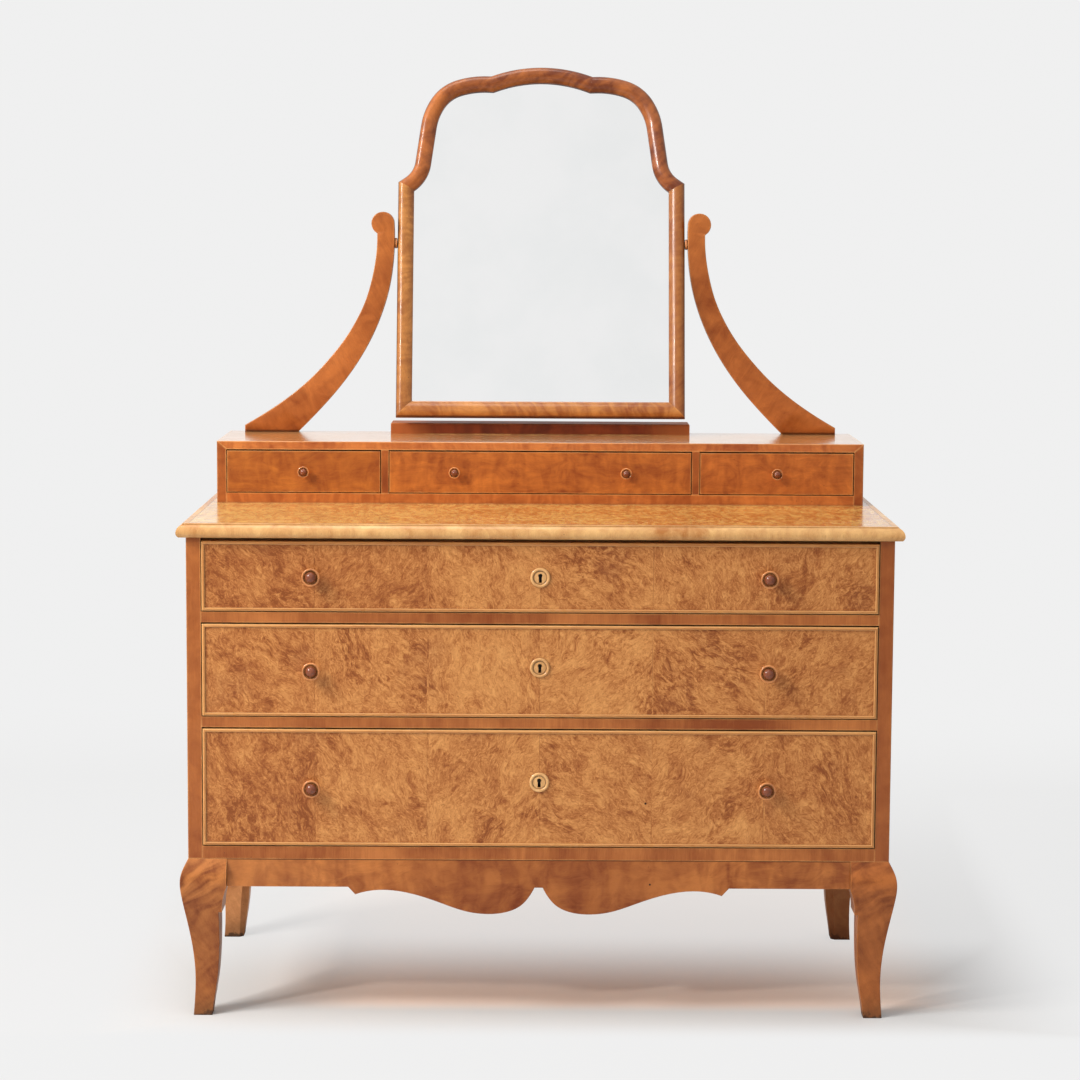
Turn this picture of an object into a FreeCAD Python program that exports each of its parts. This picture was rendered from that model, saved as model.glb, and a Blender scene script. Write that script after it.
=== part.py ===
import FreeCAD, Part
import math
import os
from FreeCAD import Rotation, Vector

# A dressing chest in birch: three long drawers on four curved legs, a low unit with three
# small drawers along the back of its top, and a mirror that tilts between two curved supports.
# Millimetres. While it is drawn, x = 0 is the middle, y = 0 the face of the case (y grows
# towards the back) and z = 0 the floor. save() moves it so that y = 0 is mid-depth.

# ---- case ----
CASE_WIDTH = 1092.0
CASE_DEPTH = 535.0
SIDE_THICKNESS = 22.5
BACK_THICKNESS = 7.0
BOTTOM_THICKNESS = 6.0
BOTTOM_RAIL_HEIGHT = 20.5
RAIL_THICKNESS = 17.0
RAIL_DEPTH = 60.0
TOP_RAIL_THICKNESS = 20.0
RAIL_TENON_LENGTH = 10.0
RAIL_TENON_THICKNESS = 8.0
RAIL_TENON_SHOULDER = 8.0
RUNNER_WIDTH = 35.0
ARRIS = 1.2
FINE_ARRIS = 0.5

# ---- base: legs and aprons ----
BASE_TOP = 251.5
APRON_BOTTOM = 207.5
APRON_THICKNESS = 22.0
LEG_BLOCK = 60.0
# both edges of a leg as (distance in from the case's side, height)
LEG_OUTER = [(-5.5, 241.0), (-10.0, 230.0), (-12.2, 216.0), (-10.2, 194.0), (-2.6, 154.0),
             (5.5, 106.0), (8.9, 58.0), (7.9, 26.0), (6.0, 0.0)]
BACK_LEG_OUTER = [(-5.5, 241.0), (-10.0, 230.0), (-12.2, 216.0), (-11.3, 194.0), (-5.4, 154.0),
                  (1.3, 106.0), (4.5, 58.0), (3.9, 26.0), (2.0, 0.0)]
LEG_INNER = [(38.5, 26.0), (43.4, 58.0), (46.6, 100.0), (47.5, 140.0), (47.5, 167.5)]
TOE_INNER = 35.0
EAR_WIDTH = 5.0
CANT_AT_TOE = 6.5
CANT_SLOPE = 0.19
TENON_LENGTH = 22.0
TENON_THICKNESS = 8.0
TENON_HEIGHT = 30.0
TENON_INSET = 7.0
# the scalloped edge of the front apron, from the centre out: (x, how far below APRON_BOTTOM)
NOTCH_HALF_WIDTH = 6.3
SCALLOP = [(14.0, 13.5), (28.0, 29.0), (52.0, 39.5), (82.0, 42.3), (112.0, 38.5), (154.0, 24.5),
           (200.0, 10.0), (245.0, 4.6), (286.0, 12.0)]
SCALLOP_END = 297.0

# ---- main top ----
TOP_WIDTH = 1120.0
TOP_THICKNESS = 21.5
TOP_FRONT_OVERHANG = 14.0
TOP_BACK_OVERHANG = 10.0
EDGING_WIDTH = 18.0
EDGING_FLAT = 8.5
EDGING_ARRIS = 0.8
EDGING_FILLET = 2.0
EDGING_STEP = 1.0
EDGING_WIDEST = 14.5
EDGING_UNDERCUT = 4.0

# ---- long drawers, bottom to top ----
LONG_FRONT_HEIGHTS = {"bottom": 183.5, "middle": 143.5, "top": 108.5}
KEY_RAISE = {"bottom": 10.0, "middle": 6.0, "top": 0.0}
FRONT_THICKNESS = 20.0
GAP_BELOW_FRONT = 1.2
GAP_ABOVE_FRONT = 2.2
GAP_BESIDE_FRONT = 1.2
GAP_UNDER_TOP = 6.0
GAP_BEHIND_FRONT = 2.0
BEAD_WIDTH = 5.0
BEAD_DEPTH = 8.0
BEAD_PROUD = 2.4
BEAD_OUTER_ROUND = 3.0
BEAD_INNER_ROUND = 1.6
GAP_BEHIND_DRAWER = 23.0
LONG_SIDE = 12.0
LONG_PLY = 5.0
LONG_KNOB_X = 353.0

# ---- drawer boxes, all sizes ----
RUNNING_GAP = 0.5
GAP_OVER_BOX = 5.0
GROOVE_DEPTH = 5.0
GROOVE_HEIGHT = 8.0
BACK_INSET = 12.0
BACK_DROP = 8.0
HOUSING_DEPTH = 4.0
TAIL_PITCH = 30.0
TAIL_SHARE = 0.6
TAIL_FLARE = 1.6
LAP = 8.0

# ---- knobs: foot, hollow neck, rolled rim and a dome inside it, turned in one piece ----
LONG_KNOB = {"foot": 7.6, "neck": 5.6, "rim": 14.0, "roll": 3.2, "rim_reach": 15.8,
             "groove": 2.6, "dome": 8.9, "reach": 22.0, "spigot": 4.5, "into": 14.0}
SMALL_KNOB = {"foot": 5.2, "neck": 3.9, "rim": 9.4, "roll": 2.2, "rim_reach": 13.0,
              "groove": 1.8, "dome": 5.9, "reach": 17.0, "spigot": 3.5, "into": 11.0}
KNOB_FOOT_HEIGHT = 1.2

# ---- keyhole, escutcheon and lock ----
ESCUTCHEON_RADIUS = 15.5
ESCUTCHEON_CENTRE = 10.0
ESCUTCHEON_PROUD = 3.0
ESCUTCHEON_GROOVE = 1.4
ESCUTCHEON_GROOVE_FLOOR = 0.6
ESCUTCHEON_DISC_EDGE = 1.4
ESCUTCHEON_DISC = 2.2
ESCUTCHEON_LET_IN = 3.0
KEYHOLE_RADIUS = 3.3
KEYHOLE_SLOT = 4.6
KEYHOLE_PIN_ABOVE = 3.0
KEYHOLE_DROP = 8.0
KEY_PIN_RADIUS = 1.5
LOCK_WIDTH = 58.0
LOCK_DEPTH = 12.0
LOCK_WALL = 1.6
LOCK_BELOW_KEY = 18.0
BOLT_WIDTH = 20.0
BOLT_THICKNESS = 4.0
BOLT_THROW = 7.0
BOLT_CLEARANCE = 0.5
BOLT_FOOT_WIDTH = 32.0
BOLT_FOOT_HEIGHT = 10.0
BOLT_ABOVE_KEY = 8.0
TALON_RADIUS = 4.0

# ---- upper unit ----
UPPER_WIDTH = 1063.0
UPPER_DEPTH = 230.0
UPPER_HEIGHT = 102.0
UPPER_TOP_THICKNESS = 13.5
UPPER_SIDE_THICKNESS = 15.5
UPPER_RAIL_HEIGHT = 17.0
UPPER_RAIL_DEPTH = 40.0
UPPER_FLOOR_THICKNESS = 8.0
UPPER_BACK_THICKNESS = 6.0
DIVIDER_X = 255.5
DIVIDER_THICKNESS = 12.5
DIVIDER_TONGUE = 4.0
DIVIDER_SHOULDER = 12.0
SMALL_FRONT_THICKNESS = 16.0
SMALL_FRONT_ROUND = 0.8
SMALL_GAP_BEHIND_DRAWER = 19.0
SMALL_SIDE = 9.0
SMALL_PLY = 4.0
SMALL_KNOB_X = 141.0

# ---- ledge and supports of the mirror ----
LEDGE_WIDTH = 508.0
LEDGE_DEPTH = 60.0
LEDGE_HEIGHT = 19.0
LEDGE_ROUND = 2.0
SUPPORT_THICKNESS = 22.0
SUPPORT_FROM_BACK = 1.0
SUPPORT_TENON_DEPTH = 9.0
SUPPORT_TENON_THICKNESS = 10.0
SUPPORT_TENON_SHOULDER = 22.0
# each edge of a support as (x, height above the upper unit), from the foot up
SUPPORT_FOOT = 505.5
SUPPORT_TOE = 11.5
SUPPORT_OUTER = [(484.0, 24.0), (434.5, 57.0), (393.0, 91.5), (360.5, 126.0), (333.5, 160.5),
                 (313.0, 194.5), (297.5, 229.0), (288.0, 262.0), (281.0, 300.0), (279.0, 341.0)]
SUPPORT_HEEL = 414.5
SUPPORT_INNER = [(249.3, 344.0), (249.6, 318.0), (251.5, 290.0), (257.5, 250.0), (268.5, 210.0),
                 (285.0, 169.0), (309.0, 125.0), (344.0, 76.0), (382.0, 33.0)]
SCROLL_X = 269.3
SCROLL_HEIGHT = 356.0
SCROLL_RADIUS = 19.5

# ---- mirror, drawn upright with its pivots at height 0 ----
MIRROR_WIDTH = 489.0
MIRROR_BELOW_PIVOT = 300.0
SHOULDER_ABOVE_PIVOT = 98.7
FRAME_WIDTH = 27.0
FRAME_DEPTH = 22.0
FRAME_EDGE = 10.0
FRAME_LIP = 13.0
FRAME_INNER_EDGE = 9.5
REBATE_WIDTH = 8.0
GLASS_THICKNESS = 4.0
GLASS_GAP = 1.0
BACKBOARD_THICKNESS = 4.0
# the middle line of a shoulder, from its stile up to the crest
SHOULDER_HEADING_DEG = 145.0
SHOULDER_LEAD = 7.5
HOLLOW_RADIUS = 53.5
HOLLOW_TURN_DEG = 47.0
SHOULDER_STRAIGHT = 65.0
SHOULDER_RADII = [103.0, 67.0, 148.0]
SHOULDER_TURNS_DEG = [24.5, 40.0, 20.0]
SHOULDER_END = 6.0
CREST_SLOPE_DEG = 20.0
CREST_END = 6.0
MIRROR_OVER_LEDGE = 3.5
PIVOT_DEPTH = 11.5
PIVOT_RADIUS = 4.0
PIVOT_CLEARANCE = 0.05
PIVOT_INTO_FRAME = 15.0
PIVOT_INTO_SUPPORT = 16.0
PIN_CHAMFER = 1.0
COLLAR_ROUND = 1.0
COLLAR_RADIUS = 9.0
COLLAR_GAP = 0.4
TILT_AT_REST_DEG = 13.8

# ---- what follows from the sizes above ----
HALF_CASE = CASE_WIDTH / 2
HALF_OPENING = HALF_CASE - SIDE_THICKNESS
BLOCK_INNER = HALF_CASE - LEG_BLOCK
KNEE_BULGE = -min(inset for inset, height in LEG_OUTER)
CASE_BACK_FACE = CASE_DEPTH - BACK_THICKNESS
TOP_BACK = CASE_DEPTH + TOP_BACK_OVERHANG

openings = {}
level = BASE_TOP + BOTTOM_RAIL_HEIGHT
for place_name, front_height in LONG_FRONT_HEIGHTS.items():
    front_low = level + GAP_BELOW_FRONT
    front_high = front_low + front_height
    openings[place_name] = {"floor": level, "front": (front_low, front_high)}
    level = front_high + GAP_ABOVE_FRONT + RAIL_THICKNESS
CASE_TOP = openings["top"]["front"][1] + GAP_UNDER_TOP
openings["bottom"]["ceiling"] = openings["middle"]["floor"] - RAIL_THICKNESS
openings["middle"]["ceiling"] = openings["top"]["floor"] - RAIL_THICKNESS
openings["top"]["ceiling"] = CASE_TOP - TOP_RAIL_THICKNESS

TOP_SURFACE = CASE_TOP + TOP_THICKNESS
UPPER_FRONT = TOP_BACK - UPPER_DEPTH
UPPER_TOP = TOP_SURFACE + UPPER_HEIGHT
UPPER_UNDER_TOP = UPPER_TOP - UPPER_TOP_THICKNESS
UPPER_FLOOR = TOP_SURFACE + UPPER_RAIL_HEIGHT
HALF_UPPER = UPPER_WIDTH / 2
HALF_UPPER_OPENING = HALF_UPPER - UPPER_SIDE_THICKNESS
UPPER_BACK_FACE = TOP_BACK - UPPER_BACK_THICKNESS
SUPPORT_Y = (TOP_BACK - SUPPORT_FROM_BACK - SUPPORT_THICKNESS, TOP_BACK - SUPPORT_FROM_BACK)
PIVOT_Y = (SUPPORT_Y[0] + SUPPORT_Y[1]) / 2
PIVOT_Z = UPPER_TOP + LEDGE_HEIGHT + MIRROR_OVER_LEDGE + MIRROR_BELOW_PIVOT
HALF_MIRROR = MIRROR_WIDTH / 2
HALF_FRAME = FRAME_WIDTH / 2
SHOULDER = [("line", SHOULDER_LEAD), ("arc", HOLLOW_RADIUS, -HOLLOW_TURN_DEG),
            ("line", SHOULDER_STRAIGHT)]
SHOULDER += [("arc", radius, turn) for radius, turn in zip(SHOULDER_RADII, SHOULDER_TURNS_DEG)]
SHOULDER.append(("line", SHOULDER_END))


# ---- drawing helpers ----
def block(x, y, z):
    """A board, given its two values on each axis."""
    return Part.makeBox(x[1] - x[0], y[1] - y[0], z[1] - z[0], Vector(x[0], y[0], z[0]))


def mirrored(shape):
    """The same piece on the other side of the middle plane."""
    return shape.mirror(Vector(0, 0, 0), Vector(1, 0, 0))


def pair(shape):
    """A piece and its mirror image."""
    return [shape, mirrored(shape)]


def outline(place, start, *steps):
    """A flat face. A step is ("line", point), ("arc", via, point) or ("curve", points...)."""
    edges = []
    here = start
    for kind, *points in steps:
        ends = [place(*point) for point in points]
        if kind == "line":
            edges.append(Part.makeLine(place(*here), ends[0]))
        elif kind == "arc":
            edges.append(Part.Arc(place(*here), *ends).toShape())
        else:
            curve = Part.BSplineCurve()
            curve.interpolate([place(*here)] + ends)
            edges.append(curve.toShape())
        here = points[-1]
    edges.append(Part.makeLine(place(*here), place(*start)))
    return Part.Face(Part.Wire(edges))


def turned_about_y(x, z, start, *steps):
    """A turned piece whose axis points out of a drawer front: points are (radius, y)."""
    face = outline(lambda radius, y: Vector(x + radius, y, z), start, *steps)
    return face.revolve(Vector(x, 0, z), Vector(0, 1, 0), 360)


def eased(solid, radius, chosen):
    """Round over those edges of a solid for which chosen(box of the edge) is true."""
    edges = [edge for edge in solid.Edges if chosen(edge.BoundBox)]
    return solid.makeFillet(radius, edges)


def cut_beyond(shape, point, direction, reach):
    """Cut a shape off square to a direction at a point, for up to reach beyond it."""
    tool = Part.makeBox(2 * reach, 2 * reach, reach, Vector(-reach, -reach, 0))
    tool.Placement = FreeCAD.Placement(point, Rotation(Vector(0, 0, 1), direction))
    return shape.cut(tool)


# ---- legs and aprons ----
def leg_view(place, outer):
    """One view of a leg: outer edge, sole, shin, ear and top block, as (inset, height)."""
    shin, ear_low = LEG_INNER[-1]
    ear = shin + EAR_WIDTH
    return outline(place, (0.0, BASE_TOP), outer,
                   ("line", (TOE_INNER, 0.0)),
                   ("curve", *LEG_INNER),
                   ("line", (ear, ear_low)),
                   ("arc", (ear + 1.6, (ear_low + APRON_BOTTOM) / 2), (LEG_BLOCK, APRON_BOTTOM)),
                   ("line", (LEG_BLOCK, BASE_TOP)))


def leg_from_views(across, along):
    """The solid with these two views, its long edges eased from the sole up to the apron."""
    leg = across.extrude(Vector(0, CASE_DEPTH, 0)).common(along.extrude(Vector(CASE_WIDTH, 0, 0)))
    return eased(leg.Solids[0], ARRIS,
                 lambda box: box.ZMin < ARRIS and box.ZLength > APRON_BOTTOM / 2)


def leg_tenons():
    """Tenons that enter the right-hand legs, by the board that each belongs to."""
    z = ((APRON_BOTTOM + BASE_TOP - TENON_HEIGHT) / 2, (APRON_BOTTOM + BASE_TOP + TENON_HEIGHT) / 2)
    across = (BLOCK_INNER, BLOCK_INNER + TENON_LENGTH)
    inner = TENON_INSET + TENON_THICKNESS
    side_x = (HALF_CASE - inner, HALF_CASE - TENON_INSET)
    return {
        "front": block(across, (TENON_INSET, inner), z),
        "back": block(across, (CASE_DEPTH - inner, CASE_DEPTH - TENON_INSET), z),
        "side": [block(side_x, (LEG_BLOCK - TENON_LENGTH, LEG_BLOCK), z),
                 block(side_x, (CASE_DEPTH - LEG_BLOCK, CASE_DEPTH - LEG_BLOCK + TENON_LENGTH), z)],
    }


def front_leg():
    """The right-hand one, curved the same way to the front and to the side."""
    curved = ("curve", *LEG_OUTER)
    across = leg_view(lambda inset, z: Vector(HALF_CASE - inset, -LEG_BLOCK, z), curved)
    along = leg_view(lambda inset, z: Vector(0, inset, z), curved)
    tenons = leg_tenons()
    return leg_from_views(across, along).cut([tenons["front"], tenons["side"][0]])


def back_leg():
    """The right-hand one, curved to the side, upright behind, its inner corner canted."""
    across = leg_view(lambda inset, z: Vector(HALF_CASE - inset, LEG_BLOCK, z),
                      ("curve", *BACK_LEG_OUTER))
    along = leg_view(lambda inset, z: Vector(0, CASE_DEPTH - inset, z),
                     ("line", (0.0, 0.0)))
    leg = leg_from_views(across, along)
    inner_toe = Vector(HALF_CASE - TOE_INNER, CASE_DEPTH - TOE_INNER, 0)
    below_apron = block((0, CASE_WIDTH), (0, 2 * CASE_DEPTH), (0, APRON_BOTTOM))
    waste = cut_beyond(below_apron, inner_toe + Vector(CANT_AT_TOE, 0, 0),
                       Vector(1, 1, CANT_SLOPE), 2 * CASE_WIDTH)
    tenons = leg_tenons()
    return leg.cut([waste, tenons["back"], tenons["side"][1]])


def front_apron():
    """A board with a scalloped lower edge, a notch in the middle and a tenon at each end."""
    scallop = [(x, APRON_BOTTOM - drop) for x, drop in SCALLOP]
    half = outline(lambda x, z: Vector(x, 0, z), (0.0, BASE_TOP),
                   ("line", (0.0, APRON_BOTTOM)),
                   ("line", (NOTCH_HALF_WIDTH, APRON_BOTTOM)),
                   ("curve", *scallop),
                   ("line", (SCALLOP_END, APRON_BOTTOM)),
                   ("line", (BLOCK_INNER, APRON_BOTTOM)),
                   ("line", (BLOCK_INNER, BASE_TOP)))
    half = half.extrude(Vector(0, APRON_THICKNESS, 0)).fuse(leg_tenons()["front"])
    apron = half.fuse(mirrored(half)).removeSplitter().Solids[0]
    return eased(apron, ARRIS, lambda box: box.YMax < FINE_ARRIS and box.ZMax < BASE_TOP - ARRIS
                 and box.XLength > NOTCH_HALF_WIDTH)


def base_rails():
    """The two side aprons and the rail between the back legs."""
    height = (APRON_BOTTOM, BASE_TOP)
    tenons = leg_tenons()
    side = block((HALF_CASE - APRON_THICKNESS, HALF_CASE),
                 (LEG_BLOCK, CASE_DEPTH - LEG_BLOCK), height)
    back = block((-BLOCK_INNER, BLOCK_INNER), (CASE_DEPTH - APRON_THICKNESS, CASE_DEPTH), height)
    back = back.fuse(pair(tenons["back"])).removeSplitter()
    return pair(side.fuse(tenons["side"]).removeSplitter()) + [back]


# ---- case ----
def bolt_mortise(ceiling):
    """The hole above a drawer that its lock's bolt shoots into."""
    half = BOLT_WIDTH / 2 + BOLT_CLEARANCE
    middle = FRONT_THICKNESS + LOCK_DEPTH / 2
    half_y = BOLT_THICKNESS / 2 + BOLT_CLEARANCE
    return block((-half, half), (middle - half_y, middle + half_y),
                 (ceiling, ceiling + BOLT_THROW + BOLT_CLEARANCE))


def rail(front, low, high):
    """A rail across the case, its front edges eased, with a tenon into each side."""
    body = block((-HALF_OPENING, HALF_OPENING), (front, front + RAIL_DEPTH), (low, high))
    body = eased(body, FINE_ARRIS,
                 lambda box: box.YMax < front + FINE_ARRIS and box.XLength > CASE_WIDTH / 2)
    half = HALF_OPENING + RAIL_TENON_LENGTH
    middle = (low + high) / 2
    tenons = block((-half, half),
                   (front + RAIL_TENON_SHOULDER, front + RAIL_DEPTH - RAIL_TENON_SHOULDER),
                   (middle - RAIL_TENON_THICKNESS / 2, middle + RAIL_TENON_THICKNESS / 2))
    return body.fuse(tenons).removeSplitter()


def case_rails():
    """The rails under, between and behind the long drawers, by node."""
    rails = {"bottom_rail": [rail(0.0, BASE_TOP, BASE_TOP + BOTTOM_RAIL_HEIGHT)]}
    rails["drawer_rails"] = []
    for under in ("bottom", "middle"):
        low = openings[under]["ceiling"]
        rails["drawer_rails"].append(rail(0.0, low, low + RAIL_THICKNESS).cut(bolt_mortise(low)))
    low = openings["top"]["ceiling"]
    top = rail(FRONT_THICKNESS + GAP_BEHIND_FRONT, low, CASE_TOP)
    rails["top_rail"] = [top.cut(bolt_mortise(low))]
    return rails


def drawer_runners():
    """Strips on the sides that carry each drawer, and a pair of kickers over the top one."""
    inner = HALF_OPENING - RUNNER_WIDTH
    bottom_level = openings["bottom"]["floor"]
    spans = [(RAIL_DEPTH, BASE_TOP + BOTTOM_THICKNESS, bottom_level)]
    for under in ("bottom", "middle"):
        low = openings[under]["ceiling"]
        spans.append((RAIL_DEPTH, low, low + RAIL_THICKNESS))
    spans.append((FRONT_THICKNESS + GAP_BEHIND_FRONT + RAIL_DEPTH,
                  openings["top"]["ceiling"], CASE_TOP))
    strips = []
    for front, low, high in spans:
        strips += pair(block((inner, HALF_OPENING), (front, CASE_BACK_FACE), (low, high)))
    return strips


def edging_section(place):
    """The moulded edge: a narrow fillet, a thumb and a small return below, as (out, down)."""
    full = EDGING_WIDTH
    thumb = full - EDGING_FLAT - EDGING_STEP

    def swell(inset, rise):
        """A point on the round from the widest line to a point further in, up or down."""
        radius = (inset ** 2 + rise ** 2) / (2 * inset)
        half_turn = math.asin(rise / radius) / 2
        return full - radius * (1 - math.cos(half_turn)), radius * math.sin(half_turn)

    upper_out, upper_rise = swell(thumb, EDGING_WIDEST - EDGING_FILLET)
    lower_out, lower_drop = swell(EDGING_UNDERCUT, TOP_THICKNESS - EDGING_WIDEST)
    return outline(place, (0.0, 0.0),
                   ("line", (EDGING_FLAT - EDGING_ARRIS, 0.0)),
                   ("arc", (EDGING_FLAT - 0.293 * EDGING_ARRIS, 0.293 * EDGING_ARRIS),
                    (EDGING_FLAT, EDGING_ARRIS)),
                   ("line", (EDGING_FLAT, EDGING_FILLET)),
                   ("line", (full - thumb, EDGING_FILLET)),
                   ("arc", (upper_out, EDGING_WIDEST - upper_rise), (full, EDGING_WIDEST)),
                   ("arc", (lower_out, EDGING_WIDEST + lower_drop),
                    (full - EDGING_UNDERCUT, TOP_THICKNESS)),
                   ("line", (0.0, TOP_THICKNESS)))


def top_edging():
    """Solid strips round the front and ends of the top, mitred at the front corners."""
    half = TOP_WIDTH / 2
    inner_x = half - EDGING_WIDTH
    inner_y = EDGING_WIDTH - TOP_FRONT_OVERHANG
    corner = Vector(half, -TOP_FRONT_OVERHANG, CASE_TOP)
    reach = 4 * EDGING_WIDTH
    front = edging_section(lambda out, down: Vector(-half, inner_y - out, TOP_SURFACE - down))
    front = front.extrude(Vector(TOP_WIDTH, 0, 0))
    front = cut_beyond(front, corner, Vector(1, 1, 0), reach)
    front = cut_beyond(front, Vector(-corner.x, corner.y, corner.z), Vector(-1, 1, 0), reach)
    side = edging_section(lambda out, down: Vector(inner_x + out, -TOP_FRONT_OVERHANG,
                                                   TOP_SURFACE - down))
    side = side.extrude(Vector(0, TOP_BACK + TOP_FRONT_OVERHANG, 0))
    side = cut_beyond(side, corner, Vector(-1, -1, 0), reach)
    return [front] + pair(side)


def main_top():
    half = TOP_WIDTH / 2 - EDGING_WIDTH
    front = EDGING_WIDTH - TOP_FRONT_OVERHANG
    return block((-half, half), (front, TOP_BACK), (CASE_TOP, TOP_SURFACE))


# ---- drawers ----
def keyhole(z, y):
    """A round hole with a slot below it, cut through whatever lies between two depths."""
    pin_z = z + KEYHOLE_PIN_ABOVE
    hole = Part.makeCylinder(KEYHOLE_RADIUS, y[1] - y[0], Vector(0, y[0], pin_z),
                             Vector(0, 1, 0))
    slot = block((-KEYHOLE_SLOT / 2, KEYHOLE_SLOT / 2), y, (z - KEYHOLE_DROP, pin_z))
    return hole.fuse(slot)


def cap(radius, low, high):
    """The last step of a turning: a spherical cap from a radius at low to the axis at high."""
    rise = low - high
    sphere = (radius ** 2 + rise ** 2) / (2 * rise)
    half_way = math.asin(radius / sphere) / 2
    via = (sphere * math.sin(half_way), high + sphere * (1 - math.cos(half_way)))
    return ("arc", via, (0.0, high))


def escutcheon(z):
    """A turned ring and disc let into the drawer front, pierced by the keyhole."""
    ring_inner = ESCUTCHEON_CENTRE + ESCUTCHEON_GROOVE / 2
    disc = ESCUTCHEON_CENTRE - ESCUTCHEON_GROOVE / 2
    floor = -ESCUTCHEON_GROOVE_FLOOR
    turning = turned_about_y(
        0.0, z, (0.0, ESCUTCHEON_LET_IN),
        ("line", (ESCUTCHEON_CENTRE, ESCUTCHEON_LET_IN)),
        ("line", (ESCUTCHEON_CENTRE, 0.0)),
        ("line", (ESCUTCHEON_RADIUS, 0.0)),
        ("line", (ESCUTCHEON_RADIUS, floor)),
        ("arc", ((ESCUTCHEON_RADIUS + ring_inner) / 2, -ESCUTCHEON_PROUD), (ring_inner, floor)),
        ("line", (disc, floor)),
        ("line", (disc, -ESCUTCHEON_DISC_EDGE)),
        cap(disc, -ESCUTCHEON_DISC_EDGE, -ESCUTCHEON_DISC))
    return turning.cut(keyhole(z, (-ESCUTCHEON_PROUD - 1, ESCUTCHEON_LET_IN + 1)))


def knob(x, z, face, sizes):
    """Foot, hollow neck, rolled rim and inner dome in one turning, with a spigot behind."""
    rim, roll, dome = sizes["rim"], sizes["roll"], sizes["dome"]
    front = face - sizes["rim_reach"]
    hollow_start = face - KNOB_FOOT_HEIGHT
    hollow_end = front + 1.3 * roll
    groove_floor = front + sizes["groove"]
    return turned_about_y(
        x, z, (0.0, face + sizes["into"]),
        ("line", (sizes["spigot"], face + sizes["into"])),
        ("line", (sizes["spigot"], face)),
        ("line", (sizes["foot"], face)),
        ("line", (sizes["foot"], hollow_start)),
        ("arc", (sizes["neck"], (hollow_start + hollow_end) / 2), (0.71 * rim, hollow_end)),
        ("line", (rim - roll / 2, front + roll)),
        ("arc", (rim, front + roll / 2), (rim - roll / 2, front)),
        ("arc", (rim - 0.854 * roll, front + 0.146 * roll), (rim - roll, front + roll / 2)),
        ("line", (dome, groove_floor)),
        cap(dome, groove_floor, face - sizes["reach"]))


def tails(x, y, z, lap_end):
    """The dovetails on the front end of a drawer side, evenly spaced up its height."""
    count = max(2, int((z[1] - z[0]) / TAIL_PITCH))
    pitch = (z[1] - z[0]) / count
    root = TAIL_SHARE * pitch / 2
    solids = []
    for number in range(count):
        middle = z[0] + (number + 0.5) * pitch
        tail = outline(lambda depth, height: Vector(x[0], depth, height),
                       (y[0], middle - root),
                       ("line", (lap_end, middle - root - TAIL_FLARE)),
                       ("line", (lap_end, middle + root + TAIL_FLARE)),
                       ("line", (y[0], middle + root)))
        solids.append(tail.extrude(Vector(x[1] - x[0], 0, 0)))
    return solids


def drawer_box(x, y, z, side_thickness, ply, lap_end):
    """Sides, back and bottom of a drawer behind its front, and what they cut from the front."""
    panel_low = z[0] + GROOVE_HEIGHT
    panel_high = panel_low + ply
    back_y = (y[1] - BACK_INSET - side_thickness, y[1] - BACK_INSET)
    inner = (x[0] + side_thickness, x[1] - side_thickness)
    panel = block((inner[0] - GROOVE_DEPTH, inner[1] + GROOVE_DEPTH),
                  (y[0] - GROOVE_DEPTH, back_y[1]), (panel_low, panel_high))
    back = block((inner[0] - HOUSING_DEPTH, inner[1] + HOUSING_DEPTH), back_y,
                 (panel_high, z[1] - BACK_DROP))
    sides = []
    sockets = []
    for span in ((x[0], inner[0]), (inner[1], x[1])):
        joints = tails(span, y, z, lap_end)
        side = block(span, y, z).fuse(joints).removeSplitter()
        sides.append(side.cut([panel, back]))
        sockets += joints
    return sides + [back, panel], sockets + [panel]


def bead_frame(x, z):
    """Four mitred strips round a long drawer's front, rounded and proud of its face."""
    inner_x = (x[0] + BEAD_WIDTH, x[1] - BEAD_WIDTH)
    inner_z = (z[0] + BEAD_WIDTH, z[1] - BEAD_WIDTH)
    depth = (-BEAD_PROUD, BEAD_DEPTH)

    def section(along, across):
        """The strip's section as (in from the drawer's edge, depth), at one end of a run."""
        return outline(lambda inward, y: along + across * inward + Vector(0, y, 0),
                       (0.0, depth[1]),
                       ("line", (0.0, depth[0] + BEAD_OUTER_ROUND)),
                       ("arc", (0.293 * BEAD_OUTER_ROUND, depth[0] + 0.293 * BEAD_OUTER_ROUND),
                        (BEAD_OUTER_ROUND, depth[0])),
                       ("line", (BEAD_WIDTH - BEAD_INNER_ROUND, depth[0])),
                       ("arc", (BEAD_WIDTH - 0.293 * BEAD_INNER_ROUND,
                                depth[0] + 0.293 * BEAD_INNER_ROUND),
                        (BEAD_WIDTH, depth[0] + BEAD_INNER_ROUND)),
                       ("line", (BEAD_WIDTH, depth[1])))

    def strip(start, end, across):
        run = end - start
        solid = section(start, across).extrude(run)
        run.normalize()
        reach = 3 * BEAD_WIDTH
        solid = cut_beyond(solid, start, across - run, reach)
        return cut_beyond(solid, end, across + run, reach)

    corners = [Vector(x[0], 0, z[0]), Vector(x[1], 0, z[0]),
               Vector(x[1], 0, z[1]), Vector(x[0], 0, z[1])]
    inwards = [Vector(0, 0, 1), Vector(-1, 0, 0), Vector(0, 0, -1), Vector(1, 0, 0)]
    strips = [strip(corners[side], corners[(side + 1) % 4], inwards[side]) for side in range(4)]
    space = block(x, (0, BEAD_DEPTH), z).cut(block(inner_x, (0, BEAD_DEPTH), inner_z))
    return strips, space


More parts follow.
